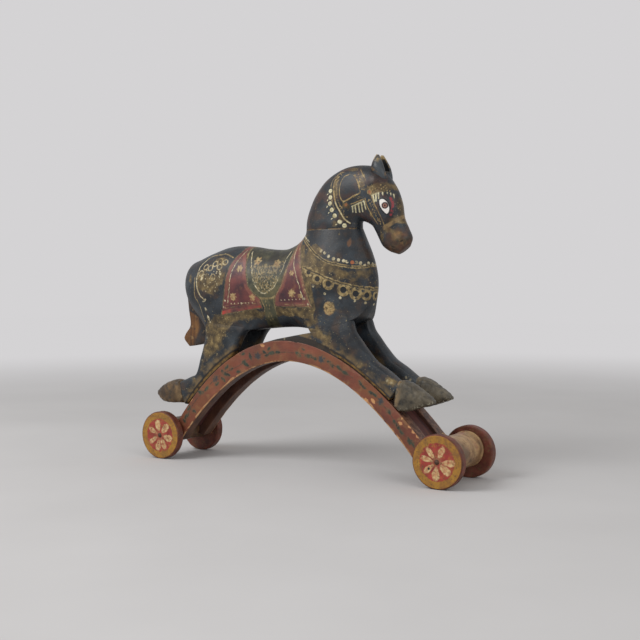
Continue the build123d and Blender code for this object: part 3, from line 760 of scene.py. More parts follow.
def swell(grid, soft, slope):
    """Points moved out sideways to the smooth maximum of their own half width and the outer
    faces of the legs. The faces are kept as heights on a 1 mm plan, which falls away at a
    slope round each leg, and are read between its cells in even shares."""
    low = np.array([-280, 190])
    plan = np.full((520, 300), -60.0)
    for which in ("fore", "hind"):
        points = leg_grid(which, 1, 0.7).reshape(-1, 3)
        points = points[points[:, 2] > low[1]]
        cells = np.round(points[:, ::2] - low).astype(int)
        np.maximum.at(plan, (cells[:, 0], cells[:, 1]), points[:, 1])
    for _ in range(40):
        for way, axis in ((1, 0), (-1, 0), (1, 1), (-1, 1)):
            plan = np.maximum(plan, np.roll(plan, way, axis) - slope)
    for _ in range(5):
        for axis in (0, 1):
            plan = (np.roll(plan, 1, axis) + 2 * plan + np.roll(plan, -1, axis)) / 4
    at = np.clip(grid[..., ::2] - low, 0, np.array(plan.shape) - 2)
    cell = at.astype(int)
    share = at - cell
    face = -0.5
    for ahead in (0, 1):
        for up in (0, 1):
            part = np.abs(1 - ahead - share[..., 0]) * np.abs(1 - up - share[..., 1])
            face = face + plan[cell[..., 0] + ahead, cell[..., 1] + up] * part
    own = np.abs(grid[..., 1])
    gap = np.maximum(1 - np.abs(own - face) / soft, 0)
    merged = np.maximum(own, face) + soft * gap**2 / 4
    weight = np.clip((own - 2) / 9, 0, 1)
    own = own + (merged - own) * weight * weight * (3 - 2 * weight)
    grid[..., 1] = np.sign(grid[..., 1]) * own
    return grid


# Outlines and small marks are (ahead, up) on the side plan; lines, beads and rings that run
# round to the chest are (ahead, across, up), and rings end with their radius.
rear_cloth = [
    (-120, 408), (-125, 391), (-131, 383), (-140, 366), (-145, 344), (-148, 314), (-157, 275), (-139, 279),
    (-96, 286), (-68, 289.5), (-70, 306), (-84, 316), (-95, 330), (-101.5, 352), (-106, 375), (-111, 387),
    (-113, 408),
]
front_cloth = [
    (-6, 412), (-8, 388), (-11.5, 374), (-18, 357), (-24, 331), (-35.5, 314), (-39.5, 299), (-39, 292.5),
    (16, 292), (39, 291), (34.5, 303), (30, 315), (23.5, 340), (15.5, 365), (11, 381), (3, 412),
]
saddle = [
    (-113, 412), (-106, 375), (-101.5, 353), (-95, 330), (-84, 316), (-67, 305.5), (-46, 306),
    (-35.5, 312.5), (-25, 326), (-18, 348), (-12, 373), (-8, 392), (-6, 412),
]
girth = [
    (-68, 308), (-62.5, 290), (-66, 278), (-70, 258), (-72, 236), (-44, 236), (-45, 260), (-41.5, 278),
    (-40, 308),
]
olive_band = [
    (4, 405), (15.5, 366), (23.5, 341), (30, 316), (39, 291), (-40, 292), (-41, 275), (3, 275), (39, 271),
    (47, 290), (42, 316), (32, 344), (23, 369), (14, 400),
]
saddle_border = bend([
    (-104, -23, 392), (-94.5, -41, 370), (-89, -47, 354), (-83.5, -51, 337), (-74, -51, 323),
    (-60, -51, 316), (-43, -50.5, 323), (-35, -50, 333), (-28.5, -47.5, 348), (-24, -44, 360),
    (-21, -37, 376), (-16, -27, 390),
])
rear_lines = bend([
    (-116, -24, 393), (-123, -38.5, 379), (-128, -44, 370), (-134, -51, 351), (-135.5, -53.5, 337),
    (-137, -54.5, 319), (-142, -52, 297),
])
rear_foot = [(-142, -52, 297), (-110, -51.5, 298), (-80, -49, 299)]
front_lines = bend([
    (-5, -29, 394), (-3.5, -38, 380), (-1, -43, 367), (6.5, -48, 348), (14, -50, 330), (21, -50, 305),
])
front_foot = [(21, -50, 305), (5, -49, 305), (-32, -49, 304)]
collar_top = bend([
    (3.5, -15.5, 415), (24, -34, 400.5), (42.5, -41, 385.5), (61, -43.5, 374), (76, -43.5, 368.5),
    (97, -39, 364), (115.5, -31.5, 361.5), (128.5, -20, 362.5), (135.5, 0, 363),
], 40)
collar_foot = bend([
    (21, -45.5, 361), (38, -47.5, 355), (55, -48, 348.5), (75, -47, 340), (97, -45, 333), (118, -36, 327.5),
    (133, -19, 325), (139.5, 0, 324),
], 40)
collar_beads = [
    (54, -40, 390), (63, -41, 386), (71, -41, 381), (80, -40.5, 376.5), (90, -39.5, 373.5),
    (97.5, -37.5, 372), (104.5, -35, 371), (118, -28, 368.5), (123.5, -24, 367.5), (128.5, -18.5, 366.5),
    (132, -12, 366.5), (134.5, -4, 366.5),
]
rings = [
    (33, -48, 353, 9), (50.5, -49, 342, 10), (73, -48, 333, 11), (101, -45, 322.5, 11.5),
    (121.5, -35, 315, 11), (132.5, -17.5, 313, 9.5), (137.5, 0, 313, 9),
]
collar_drops = [
    (66, -49.5, 315), (96.5, -47.5, 309), (120, -36.5, 303), (129, -17.5, 300), (133.5, 0, 298.5),
    (43, -50.5, 328),
]
rump_line = bend([
    (-138, -37, 382), (-160, -31, 389), (-178, -30, 387), (-193, -27, 385), (-206, -32, 376),
    (-214, -38, 365), (-216, -45, 353), (-216, -50, 337), (-213, -52, 322), (-206, -53, 312),
    (-195, -52.5, 303),
], 44)
crupper_line = bend([
    (-222, -45, 345), (-221, -50, 324), (-220, -49, 308), (-213, -50, 297), (-204, -48, 278),
    (-197, -47, 258),
])
rump_loops = [
    (-206, -43, 352), (-198, -43, 364), (-185, -42, 361), (-176, -44, 371), (-164, -45, 364),
    (-153, -44, 373),
]
stars = [
    (-82.5, 374, 8, 6, 0), (-39.5, 369, 7.5, 6, 0.4), (-128, 309, 8, 8, 0), (-86, 308, 6.5, 5, 0.3),
    (-1.5, 316, 8, 8, 0), (16, 312, 5, 5, 0), (-117, 361, 7, 6, 0.2), (-3, 352, 5.5, 6, 0),
]

# Where the paint is rubbed: (ahead, up, half length, half height, strength).
body_wear = [
    (62, 361, 20, 11, 1.1), (99, 349, 14, 8, 0.6), (128, 347, 9, 9, 0.45), (29, 378, 15, 18, 0.85),
    (41, 396, 7, 8, 0.9), (33, 345, 16, 14, 0.75), (50, 339, 14, 12, 0.8), (73, 333, 12, 11, 0.7),
    (75, 290, 10, 10, 1.5), (38, 265, 22, 10, 0.7), (103, 276, 9, 10, 0.35), (-183, 331, 25, 17, 1.1),
    (-206, 340, 10, 14, 0.6), (-166, 375, 16, 9, 0.8), (-158, 350, 12, 18, 0.8), (-200, 350, 9, 14, 0.5),
    (-120, 272, 34, 9, 1.0), (-98, 281, 30, 6, 0.8), (-172, 252, 24, 20, 1.0), (-150, 262, 14, 14, 0.5),
    (-62, 274, 22, 9, 0.6), (-235, 345, 6, 14, 0.5), (-60, 388, 12, 6, 0.6), (96, 402, 7, 9, 0.4),
    (16, 418, 8, 5, 0.6), (-172, 226, 22, 20, 0.9), (-190, 203, 14, 18, 0.75), (-205, 178, 10, 12, 0.5),
    (-222, 152, 10, 8, 0.65), (-236, 132, 10, 10, 0.45), (30, 250, 20, 9, 0.75), (72, 240, 12, 11, 0.6),
    (46, 392, 9, 5, 0.8), (58, 386, 8, 4, 0.6), (85, 419, 3, 3, 0.9), (108, 247, 5, 8, 0.5),
    (52, 244, 12, 10, 0.7), (112, 226, 11, 6, 0.5), (150, 196, 15, 6, 0.5), (186, 168, 12, 9, 0.65),
    (200, 166, 8, 12, 0.6), (60, 224, 20, 8, 0.55), (126, 190, 18, 6, 0.55),
]


def torso_layers(grid):
    """Distances in millimetres from each point to the edges of the painted shapes, where
    shapes that share a colour share a layer, and the soft layer of rubbed places."""
    space, plan = on_right(grid)

    def lines(*each):
        return [to_line(space, laid(space, line)) for line in each]

    to_collar, to_collar_foot = lines(collar_top, collar_foot)
    to_rear, to_front, to_border = lines(rear_lines, front_lines, saddle_border)
    to_rump, to_crupper = lines(rump_line, crupper_line)
    in_saddle, in_girth = region(plan, saddle), region(plan, girth)
    in_rear, in_front = region(plan, rear_cloth), region(plan, front_cloth)
    dots = np.concatenate([bend(line, count)[1:-1] for line, count in ((rear_foot, 9), (front_foot, 8))])
    sparks = scattered([(-88, 350), (-80, 328), (-62, 316), (-45, 318), (-33, 338), (-30, 352)], 7.0, 9)
    loops = np.abs(to_spots(space, laid(space, rump_loops)) - 5.4)
    seat = [(-96, 368), (-92, 352), (-84, 330), (-68, 316), (-50, 314), (-36, 330), (-28, 352), (-22, 368)]
    leaves = scattered(seat, 5.4, 4)
    leaf_turns = np.sin(leaves[:, 0] * 1.7) * 1.5 + 0.6 * np.cos(leaves[:, 1])
    filigree = leaf(plan, leaves, leaf_turns, 7.5, 2.8)
    curls = scattered([(-98, 376), (-92, 352), (-70, 318), (-48, 318), (-30, 352), (-20, 376)], 12.0, 8)
    filigree = least(filigree, np.abs(to_spots(plan, curls) - 3.2) - 0.8)
    filigree = np.maximum(filigree, in_saddle + 5.0)
    strap = [(-64, 304), (-60, 288), (-66, 262), (-50, 262), (-46, 290), (-44, 304)]
    strap_leaves = leaf(plan, scattered(strap, 6.5, 2), 1.2, 6.0, 2.2)
    flowers = [star(plan, (x, z), radius, petals, turn) for x, z, radius, petals, turn in stars]
    shoulder_disc = np.hypot(plan[:, 0] - 73, (plan[:, 1] - 290.5) / 1.2) - 10
    to_rings = [to_spots(space, laid(space, [ring[:3]])) / ring[3] for ring in rings]
    ring_edge = least(*[(np.abs(far - 0.74) - 0.25) * ring[3] for far, ring in zip(to_rings, rings)])
    ring_heart = least(*[(far - 0.47) * ring[3] for far, ring in zip(to_rings, rings)])
    drops = [(-195, 302), (-192.5, 284), (-188.5, 270), (-184.5, 258), (-203, 344), (-160, 353)]
    drop_turns = [0.5, -1.2, -1.3, -1.4, 1.3, -1.0]
    rump_drops = leaf(plan, drops, drop_turns, 12.0, 5.0)
    rump = [(-208, 352), (-190, 362), (-158, 358), (-156, 330), (-170, 312), (-200, 318)]
    rump_dots = scattered(rump, 7.5, 6)
    rump_fade = np.clip((plan[:, 0] + 208) / 25, 0, 1)
    girth_fade = np.clip((288 - plan[:, 1]) / 16, 0, 1.6)
    cream = least(
        to_rear - 0.85, to_front - 0.8, to_border - 0.95, to_rump - 1.2 + 1.3 * rump_fade,
        loops - 0.75, rump_drops, to_spots(plan, rump_dots) - 1.25, to_spots(plan, sparks) - 1.2,
        to_spots(space, laid(space, collar_beads)) - 3.0, to_spots(space, laid(space, collar_drops)) - 2.4,
        to_spots(plan, [(-147, 302), (24, 306.5), (-150, 290), (31, 297), (-112, 297)]) - 2.0,
        to_line(space, bend([(5, -14.5, 418), (14, -24, 413), (24, -31, 407)])) - 1.2,
    )
    gold = least(
        np.abs(in_saddle + 0.3) - 1.2, np.abs(in_rear) - 0.9, np.abs(in_front) - 0.9,
        to_collar - 2.7, to_collar_foot - 3.2, to_crupper - 1.0, to_rump - 1.4, loops - 1.5,
        np.abs(in_girth) - 1.0 + girth_fade, filigree, strap_leaves, ring_edge,
        np.maximum(np.abs(in_front + 4.2) - 0.5, -20 - plan[:, 0]),
        np.maximum(np.abs(in_front + 1.9) - 0.4, -10 - plan[:, 0]),
        np.abs(region(plan, [(-147, 288), (-69, 299), (-72, 302), (-147, 293)])) - 0.5,
        np.abs(to_spots(plan, [(-166, 374), (-205, 345), (-176, 345)]) - 5.5) - 1.0,
    )
    cloths = least(in_rear, in_front)
    warm = patches(plan, body_wear)
    warm += 0.80 * np.clip(0.5 - region(plan, olive_band) / 4, 0, 1)
    warm += 0.30 * np.clip((46 - to_collar - to_collar_foot) / 6, 0, 1) * (plan[:, 0] > 25)
    warm -= 0.9 * np.clip((262 - plan[:, 1]) / 14, 0, 1) * (np.abs(plan[:, 0] + 40) < 85)
    return {
        "red": cloths,
        "strip": np.maximum(in_rear, plan[:, 1] - 292.5 - 0.13 * (plan[:, 0] + 80)),
        "green": least(in_saddle, in_girth),
        "cream": cream,
        "gold": gold,
        "dark": least(to_collar - 0.9, to_collar_foot - 0.9, ring_heart, np.abs(cloths) - 0.7),
        "flower": least(shoulder_disc, *flowers),
        "warm": warm,
        "bare": np.hypot(plan[:, 0] - 104, (plan[:, 1] - 404) / 2.1) - 3.2,
        "stitch": to_spots(space, laid(space, dots)) - 1.3,
        "seam": 427.2 - space[:, 2],
        "bead": np.minimum(to_spots(space, [(112, -31.5, 369.5)]) - 3.4, nowhere),
    }


torso_grid = oval_grid(np.array(torso_stations) * (1, 1, 1, 1, torso_half), 272, 1.5)
for _ in range(20):
    torso_grid[1:-1] = (torso_grid[:-2] + 2 * torso_grid[1:-1] + torso_grid[2:]) / 4
torso_grid = swell(torso_grid, 24.0, 0.85)
body_material, place = open_finish("painted_body")
colour, rubbed = blackened(place, layer(place, "warm"))
worn = grain(place, 210, 4.0).within(0.68, 0.50)
green = grain(place, 70, 4.0).ramp(
    (0.3, (0.024, 0.027, 0.017)), (0.5, (0.080, 0.078, 0.040)), (0.72, (0.165, 0.140, 0.065)))
greens = painted(place, "green")
colour = colour.mixed(green, greens * 0.85)
high = place.node("SeparateXYZ", None, {0: place}, out=2).within(0.340, 0.366)
stained = grain(place, 52, 5.0, distortion=0.5).within(0.26, 0.54)
colour = colour.mixed((0.017, 0.015, 0.011), greens * high * stained * 0.9)
red = grain(place, 40, 5.0).ramp(
    (0.30, (0.045, 0.020, 0.026)), (0.5, (0.120, 0.034, 0.034)), (0.75, (0.21, 0.060, 0.050)))
reds = painted(place, "red")
colour = colour.mixed(red, reds)
purple = grain(place, 31, 5.0, distortion=0.5).within(0.47, 0.64)
colour = colour.mixed((0.050, 0.024, 0.034), reds * purple * 0.65)
hem = layer(place, "red").within(-8.5, -7.0) * reds * grain(place, 70, 4.0).within(0.34, 0.60)
colour = colour.mixed((0.27, 0.095, 0.065), hem * 0.6)
bright = grain(place, 55, 4.0).within(0.38, 0.58)
colour = colour.mixed((0.46, 0.050, 0.036), painted(place, "strip", shake=3.0) * bright * 0.9)
colour = colour.mixed((0.20, 0.085, 0.045), reds * grain(place, 85, 5.0).within(0.56, 0.70) * 0.8)
gold_tone = grain(place, 160).ramp(
    (0.32, (0.15, 0.105, 0.045)), (0.55, (0.36, 0.26, 0.11)), (0.75, (0.52, 0.41, 0.20)))
gold = painted(place, "gold", 0.45, 1.3) * worn
colour = colour.mixed(gold_tone, gold * (0.92 - greens * 0.28))
flower_tone = grain(place, 190, 2.0).ramp((0.35, (0.34, 0.19, 0.07)), (0.65, (0.58, 0.44, 0.20)))
flowers = painted(place, "flower", 1.1, 4.4, 300) * worn
colour = colour.mixed(flower_tone, flowers * 0.75)
colour = colour.mixed((0.38, 0.12, 0.045), painted(place, "bead") * 0.9)
lines = painted(place, "dark", 0.5, 0.8)
colour = colour.mixed((0.012, 0.013, 0.014), lines * 0.85)
cream_tone = grain(place, 170, 2.0).ramp((0.3, (0.34, 0.27, 0.14)), (0.65, (0.66, 0.58, 0.38)))
cream = painted(place, "cream", 0.45, 1.3) * grain(place, 190, 5.0).within(0.62, 0.50)
colour = colour.mixed(cream_tone, cream * 0.95)
colour = colour.mixed((0.52, 0.43, 0.27), painted(place, "stitch", 0.4, 0.3) * 0.9)
bare = painted(place, "bare", 0.9, 4.5, 190)
colour = colour.mixed((0.150, 0.072, 0.034), bare * 0.85)
seam_edge = (1 - layer(place, "seam").within(-0.6, 0.8)) * grain(place, 120).within(0.42, 0.55)
colour = colour.mixed((0.19, 0.12, 0.05), seam_edge * 0.75)
colour = coated(colour, place, ((0.016, 0.014, 0.012), 26, 5.0, 0.50, 0.75, 0.35))
height = gold * 0.5 + cream * 0.7 + flowers * 0.4 - lines * 1.1 - bare * 0.9
height = height + grain(place, 420, 4.0) * 0.55 - rubbed * 0.25
close_finish(colour, gloss(place, 0.28) + rubbed * 0.12, height, 0.35, 0.4)
torso = skin("carved_torso", torso_grid, torso_layers(torso_grid))
finished(torso, body_material, HORSE, "torso")


# ---- Legs ----
# Four legs sawn from board and carved round, pegged under the body and on the rails. The
# hind legs are tucked and the fore legs reach ahead, each over a long wedge of wood that beds
# it on its rail. They and the wedges are blue-black, rubbed to ochre along their edges, and
# darkened along the rail by dark paint and by painted shade of the crease.
def leg_layers(grid, specks):
    """The soft rubbed patches, which fade on the inner side, the height over the rail's top
    edge, how far a point lies from the arch's crest, and the distance to its specks."""
    points = grid.reshape(-1, 3)
    plan = points[:, ::2]
    inner = np.clip((rail_middle + 6 - np.abs(points[:, 1])) / 10, 0, 1)
    return {
        "warm": patches(plan, body_wear) * (1 - 0.75 * inner),
        "over_rail": plan[:, 1] - rail_top(plan[:, 0]),
        "ahead": np.clip((np.abs(plan[:, 0] - 10) - 62) / 12, 0, 1),
        "speck": to_spots(plan, specks) - 2.0,
    }


leg_specks = {"fore": [(189, 171), (197, 166)], "hind": [(-197, 246), (-192, 232), (-205, 190)]}
wedge_specks = [(-20, 236)]
leg_material, place = open_finish("painted_leg")
colour, rubbed = blackened(place, layer(place, "warm"))
over_rail = layer(place, "over_rail")
waver = (grain(place, 40) - 0.5) * 5
# Darkened about ten millimetres up from the rail: dark paint, and painted shade of the crease.
bedding = 1 - (over_rail + waver).within(9.0, 11.0)
colour = colour.mixed((0.026, 0.019, 0.014), bedding * 0.9)
band = (over_rail + waver).within(2.0, 3.5) * (1 - (over_rail + waver).within(6.0, 9.0))
band = band * layer(place, "ahead") * grain(place, 110, 5.0).within(0.34, 0.56)
colour = colour.mixed((0.34, 0.200, 0.050), band * 0.75)
scuffed = (1 - (over_rail + waver * 2).within(12, 30)) * over_rail.within(10, 13)
scuffed = scuffed * grain(place, 62, 5.0).within(0.40, 0.58)
colour = colour.mixed((0.215, 0.140, 0.055), scuffed * 0.8)
colour = colour.mixed((0.42, 0.36, 0.23), painted(place, "speck", 1.2, 7.0, 160) * 0.6)
height = grain(place, 420, 4.0) * 0.6 + grain(place, 60, stretch=(0.3, 1, 0.6)) * 1.2
close_finish(colour, gloss(place, 0.32), height - rubbed * 0.3 - bedding * 0.8, 0.4, 0.4)


wedge_line = [(-63, -4.2), (-38, 2.3), (-11, 7.4), (17, 12.6), (38, 16), (92, 26)]
wedge_thickness = 24.2
wedge_bedded = 5.0


def wedge_grid(side):
    """The bedding wedge: rounded oblong slices standing on the rail, from its thin heel to
    where the leg covers it."""
    x = np.linspace(wedge_line[0][0], wedge_line[-1][0], 110)
    top = crest + np.interp(x, *np.transpose(wedge_line))
    upper, lower = np.stack([x, top], 1), np.stack([x, rail_top(x) - wedge_bedded], 1)
    return oblong(upper, lower, side * rail_middle, wedge_thickness, 2.5, 84)


for which in ("fore", "hind"):
    for side_name, side in SIDES:
        name = f"{which}_leg_{side_name}"
        grid = leg_grid(which, side, sunk=3.5)
        leg = skin("carved_" + name, grid, leg_layers(grid, leg_specks[which]))
        finished(leg, leg_material, HORSE, name)
        if which == "fore":
            grid = wedge_grid(side)
            wedge = skin("bedding_wedge_" + side_name, grid, leg_layers(grid, wedge_specks))
            finished(wedge, leg_material, HORSE, name)


# ---- Hooves ----
# Long pointed hooves carved as separate blocks and dowelled to the legs, with a lip at the
# top. The fore pair is painted grey-olive and speckled, the hind pair is rubbed to ochre.
hoof_steps = {
    "fore": [(20, 34, 13, -14, 0.86), (38, 32, 31, -18, 1.0), (56, 22, 51, -13, 0.96),
             (71, 12, 69, -7, 0.76), (82, 3, 82, -2, 0.36)],
    "hind": [(-9, 38, -5, 2, 0.86), (-23, 44, -21, -1, 1.0), (-43, 39, -43, -2, 0.96),
             (-60, 31, -59, 0, 0.74), (-73, 21, -73, 10, 0.34)],
}
hoof_foot = {"fore": 137.0, "hind": 106.7}
hoof_tones = {
    "fore": [(0.28, (0.028, 0.023, 0.016)), (0.5, (0.085, 0.070, 0.047)), (0.75, (0.150, 0.125, 0.085))],
    "hind": [(0.28, (0.024, 0.016, 0.011)), (0.5, (0.085, 0.052, 0.026)), (0.75, (0.21, 0.125, 0.050))],
}
hoof_thickness = 35.0
hoof_corner = 13.0
hoof_speckles = {"fore": (0.44, 0.42, 0.32), "hind": (0.36, 0.22, 0.09)}


def hoof_grid(which, side):
    """Rounded oblong slices from the fetlock to the toe, with a lip a few millimetres in
    from the top and faint growth rings."""
    x, z = fetlock[which], hoof_foot[which]
    rows = [(x + a, z + b, x + c, z + d, hoof_thickness * t) for a, b, c, d, t in hoof_steps[which]]
    smooth = flow(rows, 0.9)
    upper, lower = smooth[:, :2], smooth[:, 2:4]
    share = np.linspace(0, 1, len(smooth))
    lip = 1.3 * np.exp(-(((share - 0.10) / 0.045) ** 2))
    lip += 0.22 * np.sin(share * 38) * np.clip(share * 4 - 0.8, 0, 1)
    away = upper - lower
    away = away / np.hypot(*away.T)[:, None] * lip[:, None]
    thickness = smooth[:, 4] + 2 * lip
    grid = oblong(upper + away, lower - away, side * rail_middle, thickness, hoof_corner, 112)
    over_sole = grid[..., 2] - np.minimum(lower[:, 1], upper[:, 1])[:, None]
    return grid, {"over_sole": over_sole, "share": share[:, None] + 0 * over_sole}


for which in ("fore", "hind"):
    hoof_material, place = open_finish("painted_hoof_" + which)
    colour = grain(place, 55, 6.0, distortion=0.5).ramp(*hoof_tones[which])
    dark = grain(place, 95, 5.0).within(0.50, 0.64)
    colour = colour.mixed((0.022, 0.022, 0.020), dark * 0.6)
    low = 1 - (layer(place, "over_sole") + (grain(place, 90) - 0.5) * 8).within(1.5, 8.0)
    speckle = grain(place, 330, 4.0).within(0.54, 0.62)
    colour = colour.mixed(hoof_speckles[which], speckle * (low * 0.8 + 0.04))
    top = 1 - layer(place, "share").within(0.05, 0.16)
    colour = colour.mixed((0.26, 0.17, 0.08), top * grain(place, 110, 4.0).within(0.44, 0.58) * 0.7)
    height = grain(place, 300, 5.0) * 0.9 + speckle * 0.3 - dark * 0.3
    close_finish(colour, dark * -0.1 + 0.52, height, 0.4, 0.4)
    for side_name, side in SIDES:
        name = f"{which}_hoof_{side_name}"
        hoof = skin("carved_" + name, *hoof_grid(which, side))
        finished(hoof, hoof_material, HORSE, name)


# ---- Head and neck ----
# A second carved block, let into the body on a tenon. The bridle, the garland round the
# throat, the white eye and the combs of teeth are all painted; the muzzle is worn brown.
head_stations = [
    (2, 196, 113, 198, 31.0), (3, 212, 113, 203, 30.4), (9, 232, 113, 206, 29.1), (22, 258, 114, 208, 27.9),
    (46, 285, 116, 209, 26.7), (82, 303, 118, 209, 26.5), (120, 306, 122, 208, 26.0),
    (154, 297, 129, 205, 26.0), (179, 269, 138, 199, 26.0), (191, 241, 145, 188, 23.9),
    (196, 214, 150, 177, 20.8), (205, 194, 157, 165, 18.7), (211, 180, 170, 156, 16.1),
    (208, 168, 186, 151, 10.9),
]
eye = bend([
    (162.2, 474.4), (166, 476.5), (170.5, 475.5), (176.3, 469.5), (178.9, 461), (178, 454), (174.5, 451.5),
    (168.3, 457.5), (163.7, 466), (162.2, 474.4),
], 36)
iris_middle, iris_radius = (172.2, 465.5), 5.7
throat_oval = bend([
    (96, -20, 521), (90, -20, 518.5), (84.5, -23, 508), (83, -26, 493), (85.5, -26.5, 482.5),
    (90, -26, 476), (99, -26, 477), (111, -26, 484), (124, -26, 489), (121, -25, 501), (115, -22.5, 514.5),
    (104, -18, 522), (96, -20, 521),
], 50)
garland_strap = bend([
    (78, -18, 519), (70.5, -20, 512), (70, -24, 499), (73.5, -26.5, 483), (77.5, -27, 470),
    (84.5, -26, 458), (92, -23.5, 445), (101, -19, 437.5),
])
garland_discs = [
    (64, -24, 494), (65, -26, 483.5), (65, -27.5, 472), (69, -28, 461.5), (75.5, -28, 451),
    (84, -26.5, 440.5), (92, -24, 433.5),
]
poll_straps = [
    bend([(111, -20, 521), (116, -23, 512), (122.5, -25, 501), (124.7, -26, 489)]),
    bend([(120, -15, 529), (125.5, -19, 522), (133.5, -22.5, 511), (140, -25, 498)]),
]
throat_straps = [
    bend([(90.5, -26, 474.5), (99.5, -26, 478), (111, -26, 483), (124.5, -26, 488)]),
    bend([(104.5, -24.5, 470), (116, -24.5, 473), (131.5, -25.5, 477.5)]),
]
throat_comb = [(106.5, -23.5, 466), (119, -24, 470.5), (132, -25, 474.5)]
throat_teeth = [
    ((108, -23, 465.5), (107, -19.5, 457)), ((113.5, -23.5, 467), (112.7, -19.8, 456)),
    ((120, -24, 469), (120, -19.5, 455.5)), ((126.4, -24.4, 471.5), (126.5, -20.3, 457)),
    ((132, -25, 473), (134, -22.6, 460.5)),
]
cheek_straps = [
    bend([(134.5, -25.5, 479), (136.5, -24.5, 468), (143, -22.7, 454), (149.5, -21.7, 443.5),
          (156, -21, 434)]),
    bend([(146, -26, 485), (150.5, -26, 473.5), (157.5, -25.7, 459.5), (164.5, -24, 444),
          (170.7, -21, 429)]),
]
noseband = bend([(169, -21, 428), (183.5, -18.5, 436), (192.5, -11.5, 443), (196, 0, 447)])
browbands = [
    bend([(140, -25, 498), (150.6, -23.4, 500), (157.5, -20.4, 503.7), (164, -16.4, 505),
          (171, -8.7, 504.5), (172, 0, 505)]),
    bend([(142.5, -26, 485), (151.7, -25.5, 486), (163, -22.5, 489), (173, -18, 487.5), (181.5, -12, 484.5),
          (184, 0, 486)]),
]
brow_teeth = [
    ((149.8, -26, 484), (152.7, -26.2, 472.5)), ((155.2, -25.5, 485.5), (156.2, -26, 473.5)),
    ((159.7, -24.4, 487), (161, -25.1, 477)), ((166.4, -22.3, 487.5), (167.5, -22, 481)),
    ((173.6, -18.5, 487), (174, -18.5, 481)), ((178.4, -15.5, 486), (179, -15.5, 479.5)),
    ((182.6, -12.5, 484), (183.5, -12.5, 476)),
]
brow_comb = [(147.5, -26, 483.5), (155.7, -25.3, 486), (164, -22, 488.5)]
brow_dots = [
    (149, -24.5, 493), (154, -23, 495), (159, -21, 496), (164, -18, 497), (169, -14, 497),
    (173, -9, 496), (176, -3, 496),
]
busy_bands = [
    ([(67, 506), (73, 516), (82, 512), (80, 495), (83, 478), (92, 466), (101, 446), (94, 442), (82, 456),
      (74, 472), (69, 488)], 5.0),
    ([(112, 519), (120, 527), (139, 498), (126, 491)], 5.2),
    ([(141, 497), (170, 504), (181, 487), (164, 490), (147, 486)], 4.6),
    ([(136, 477), (147, 483), (169, 432), (157, 436)], 5.0),
]

# Where the paint is rubbed: (ahead, up, half length, half height, strength).
head_wear = [
    (190, 411, 9, 11, 1.5), (203, 402, 6, 9, 0.5), (184, 398, 9, 6, 0.7), (162, 412, 6, 12, 0.75),
    (186, 440, 14, 6, 0.8), (194, 469, 6, 20, 1.25), (201, 444, 7, 12, 0.8), (156, 492, 20, 9, 0.5),
    (74, 492, 7, 22, 0.6), (120, 508, 8, 12, 0.6), (158, 495, 18, 6, 1.0), (102, 531, 14, 5, 0.9),
    (96, 468, 8, 7, 1.0), (77, 505, 5, 16, 0.9), (128, 508, 5, 14, 0.9), (88, 450, 7, 10, 0.9),
    (176, 424, 12, 6, 0.6), (145, 450, 6, 14, 0.6), (76, 440, 8, 8, 0.5), (168, 500, 12, 5, 0.7),
    (120, 482, 14, 4, 0.6), (184, 500, 6, 10, 0.8), (30, 470, 10, 16, 0.4), (50, 445, 14, 8, 0.4),
]
# Soft carving: (ahead, up, half length, half height, push out).
head_swellings = [
    (152, 512, 14, 15, 4.5), (170, 466, 12, 15, 1.6), (199, 408, 8, 8, 1.7),
    (160, 440, 9, 16, -1.3), (150, 424, 12, 9, 1.3), (184, 424, 9, 9, -1.0),
]


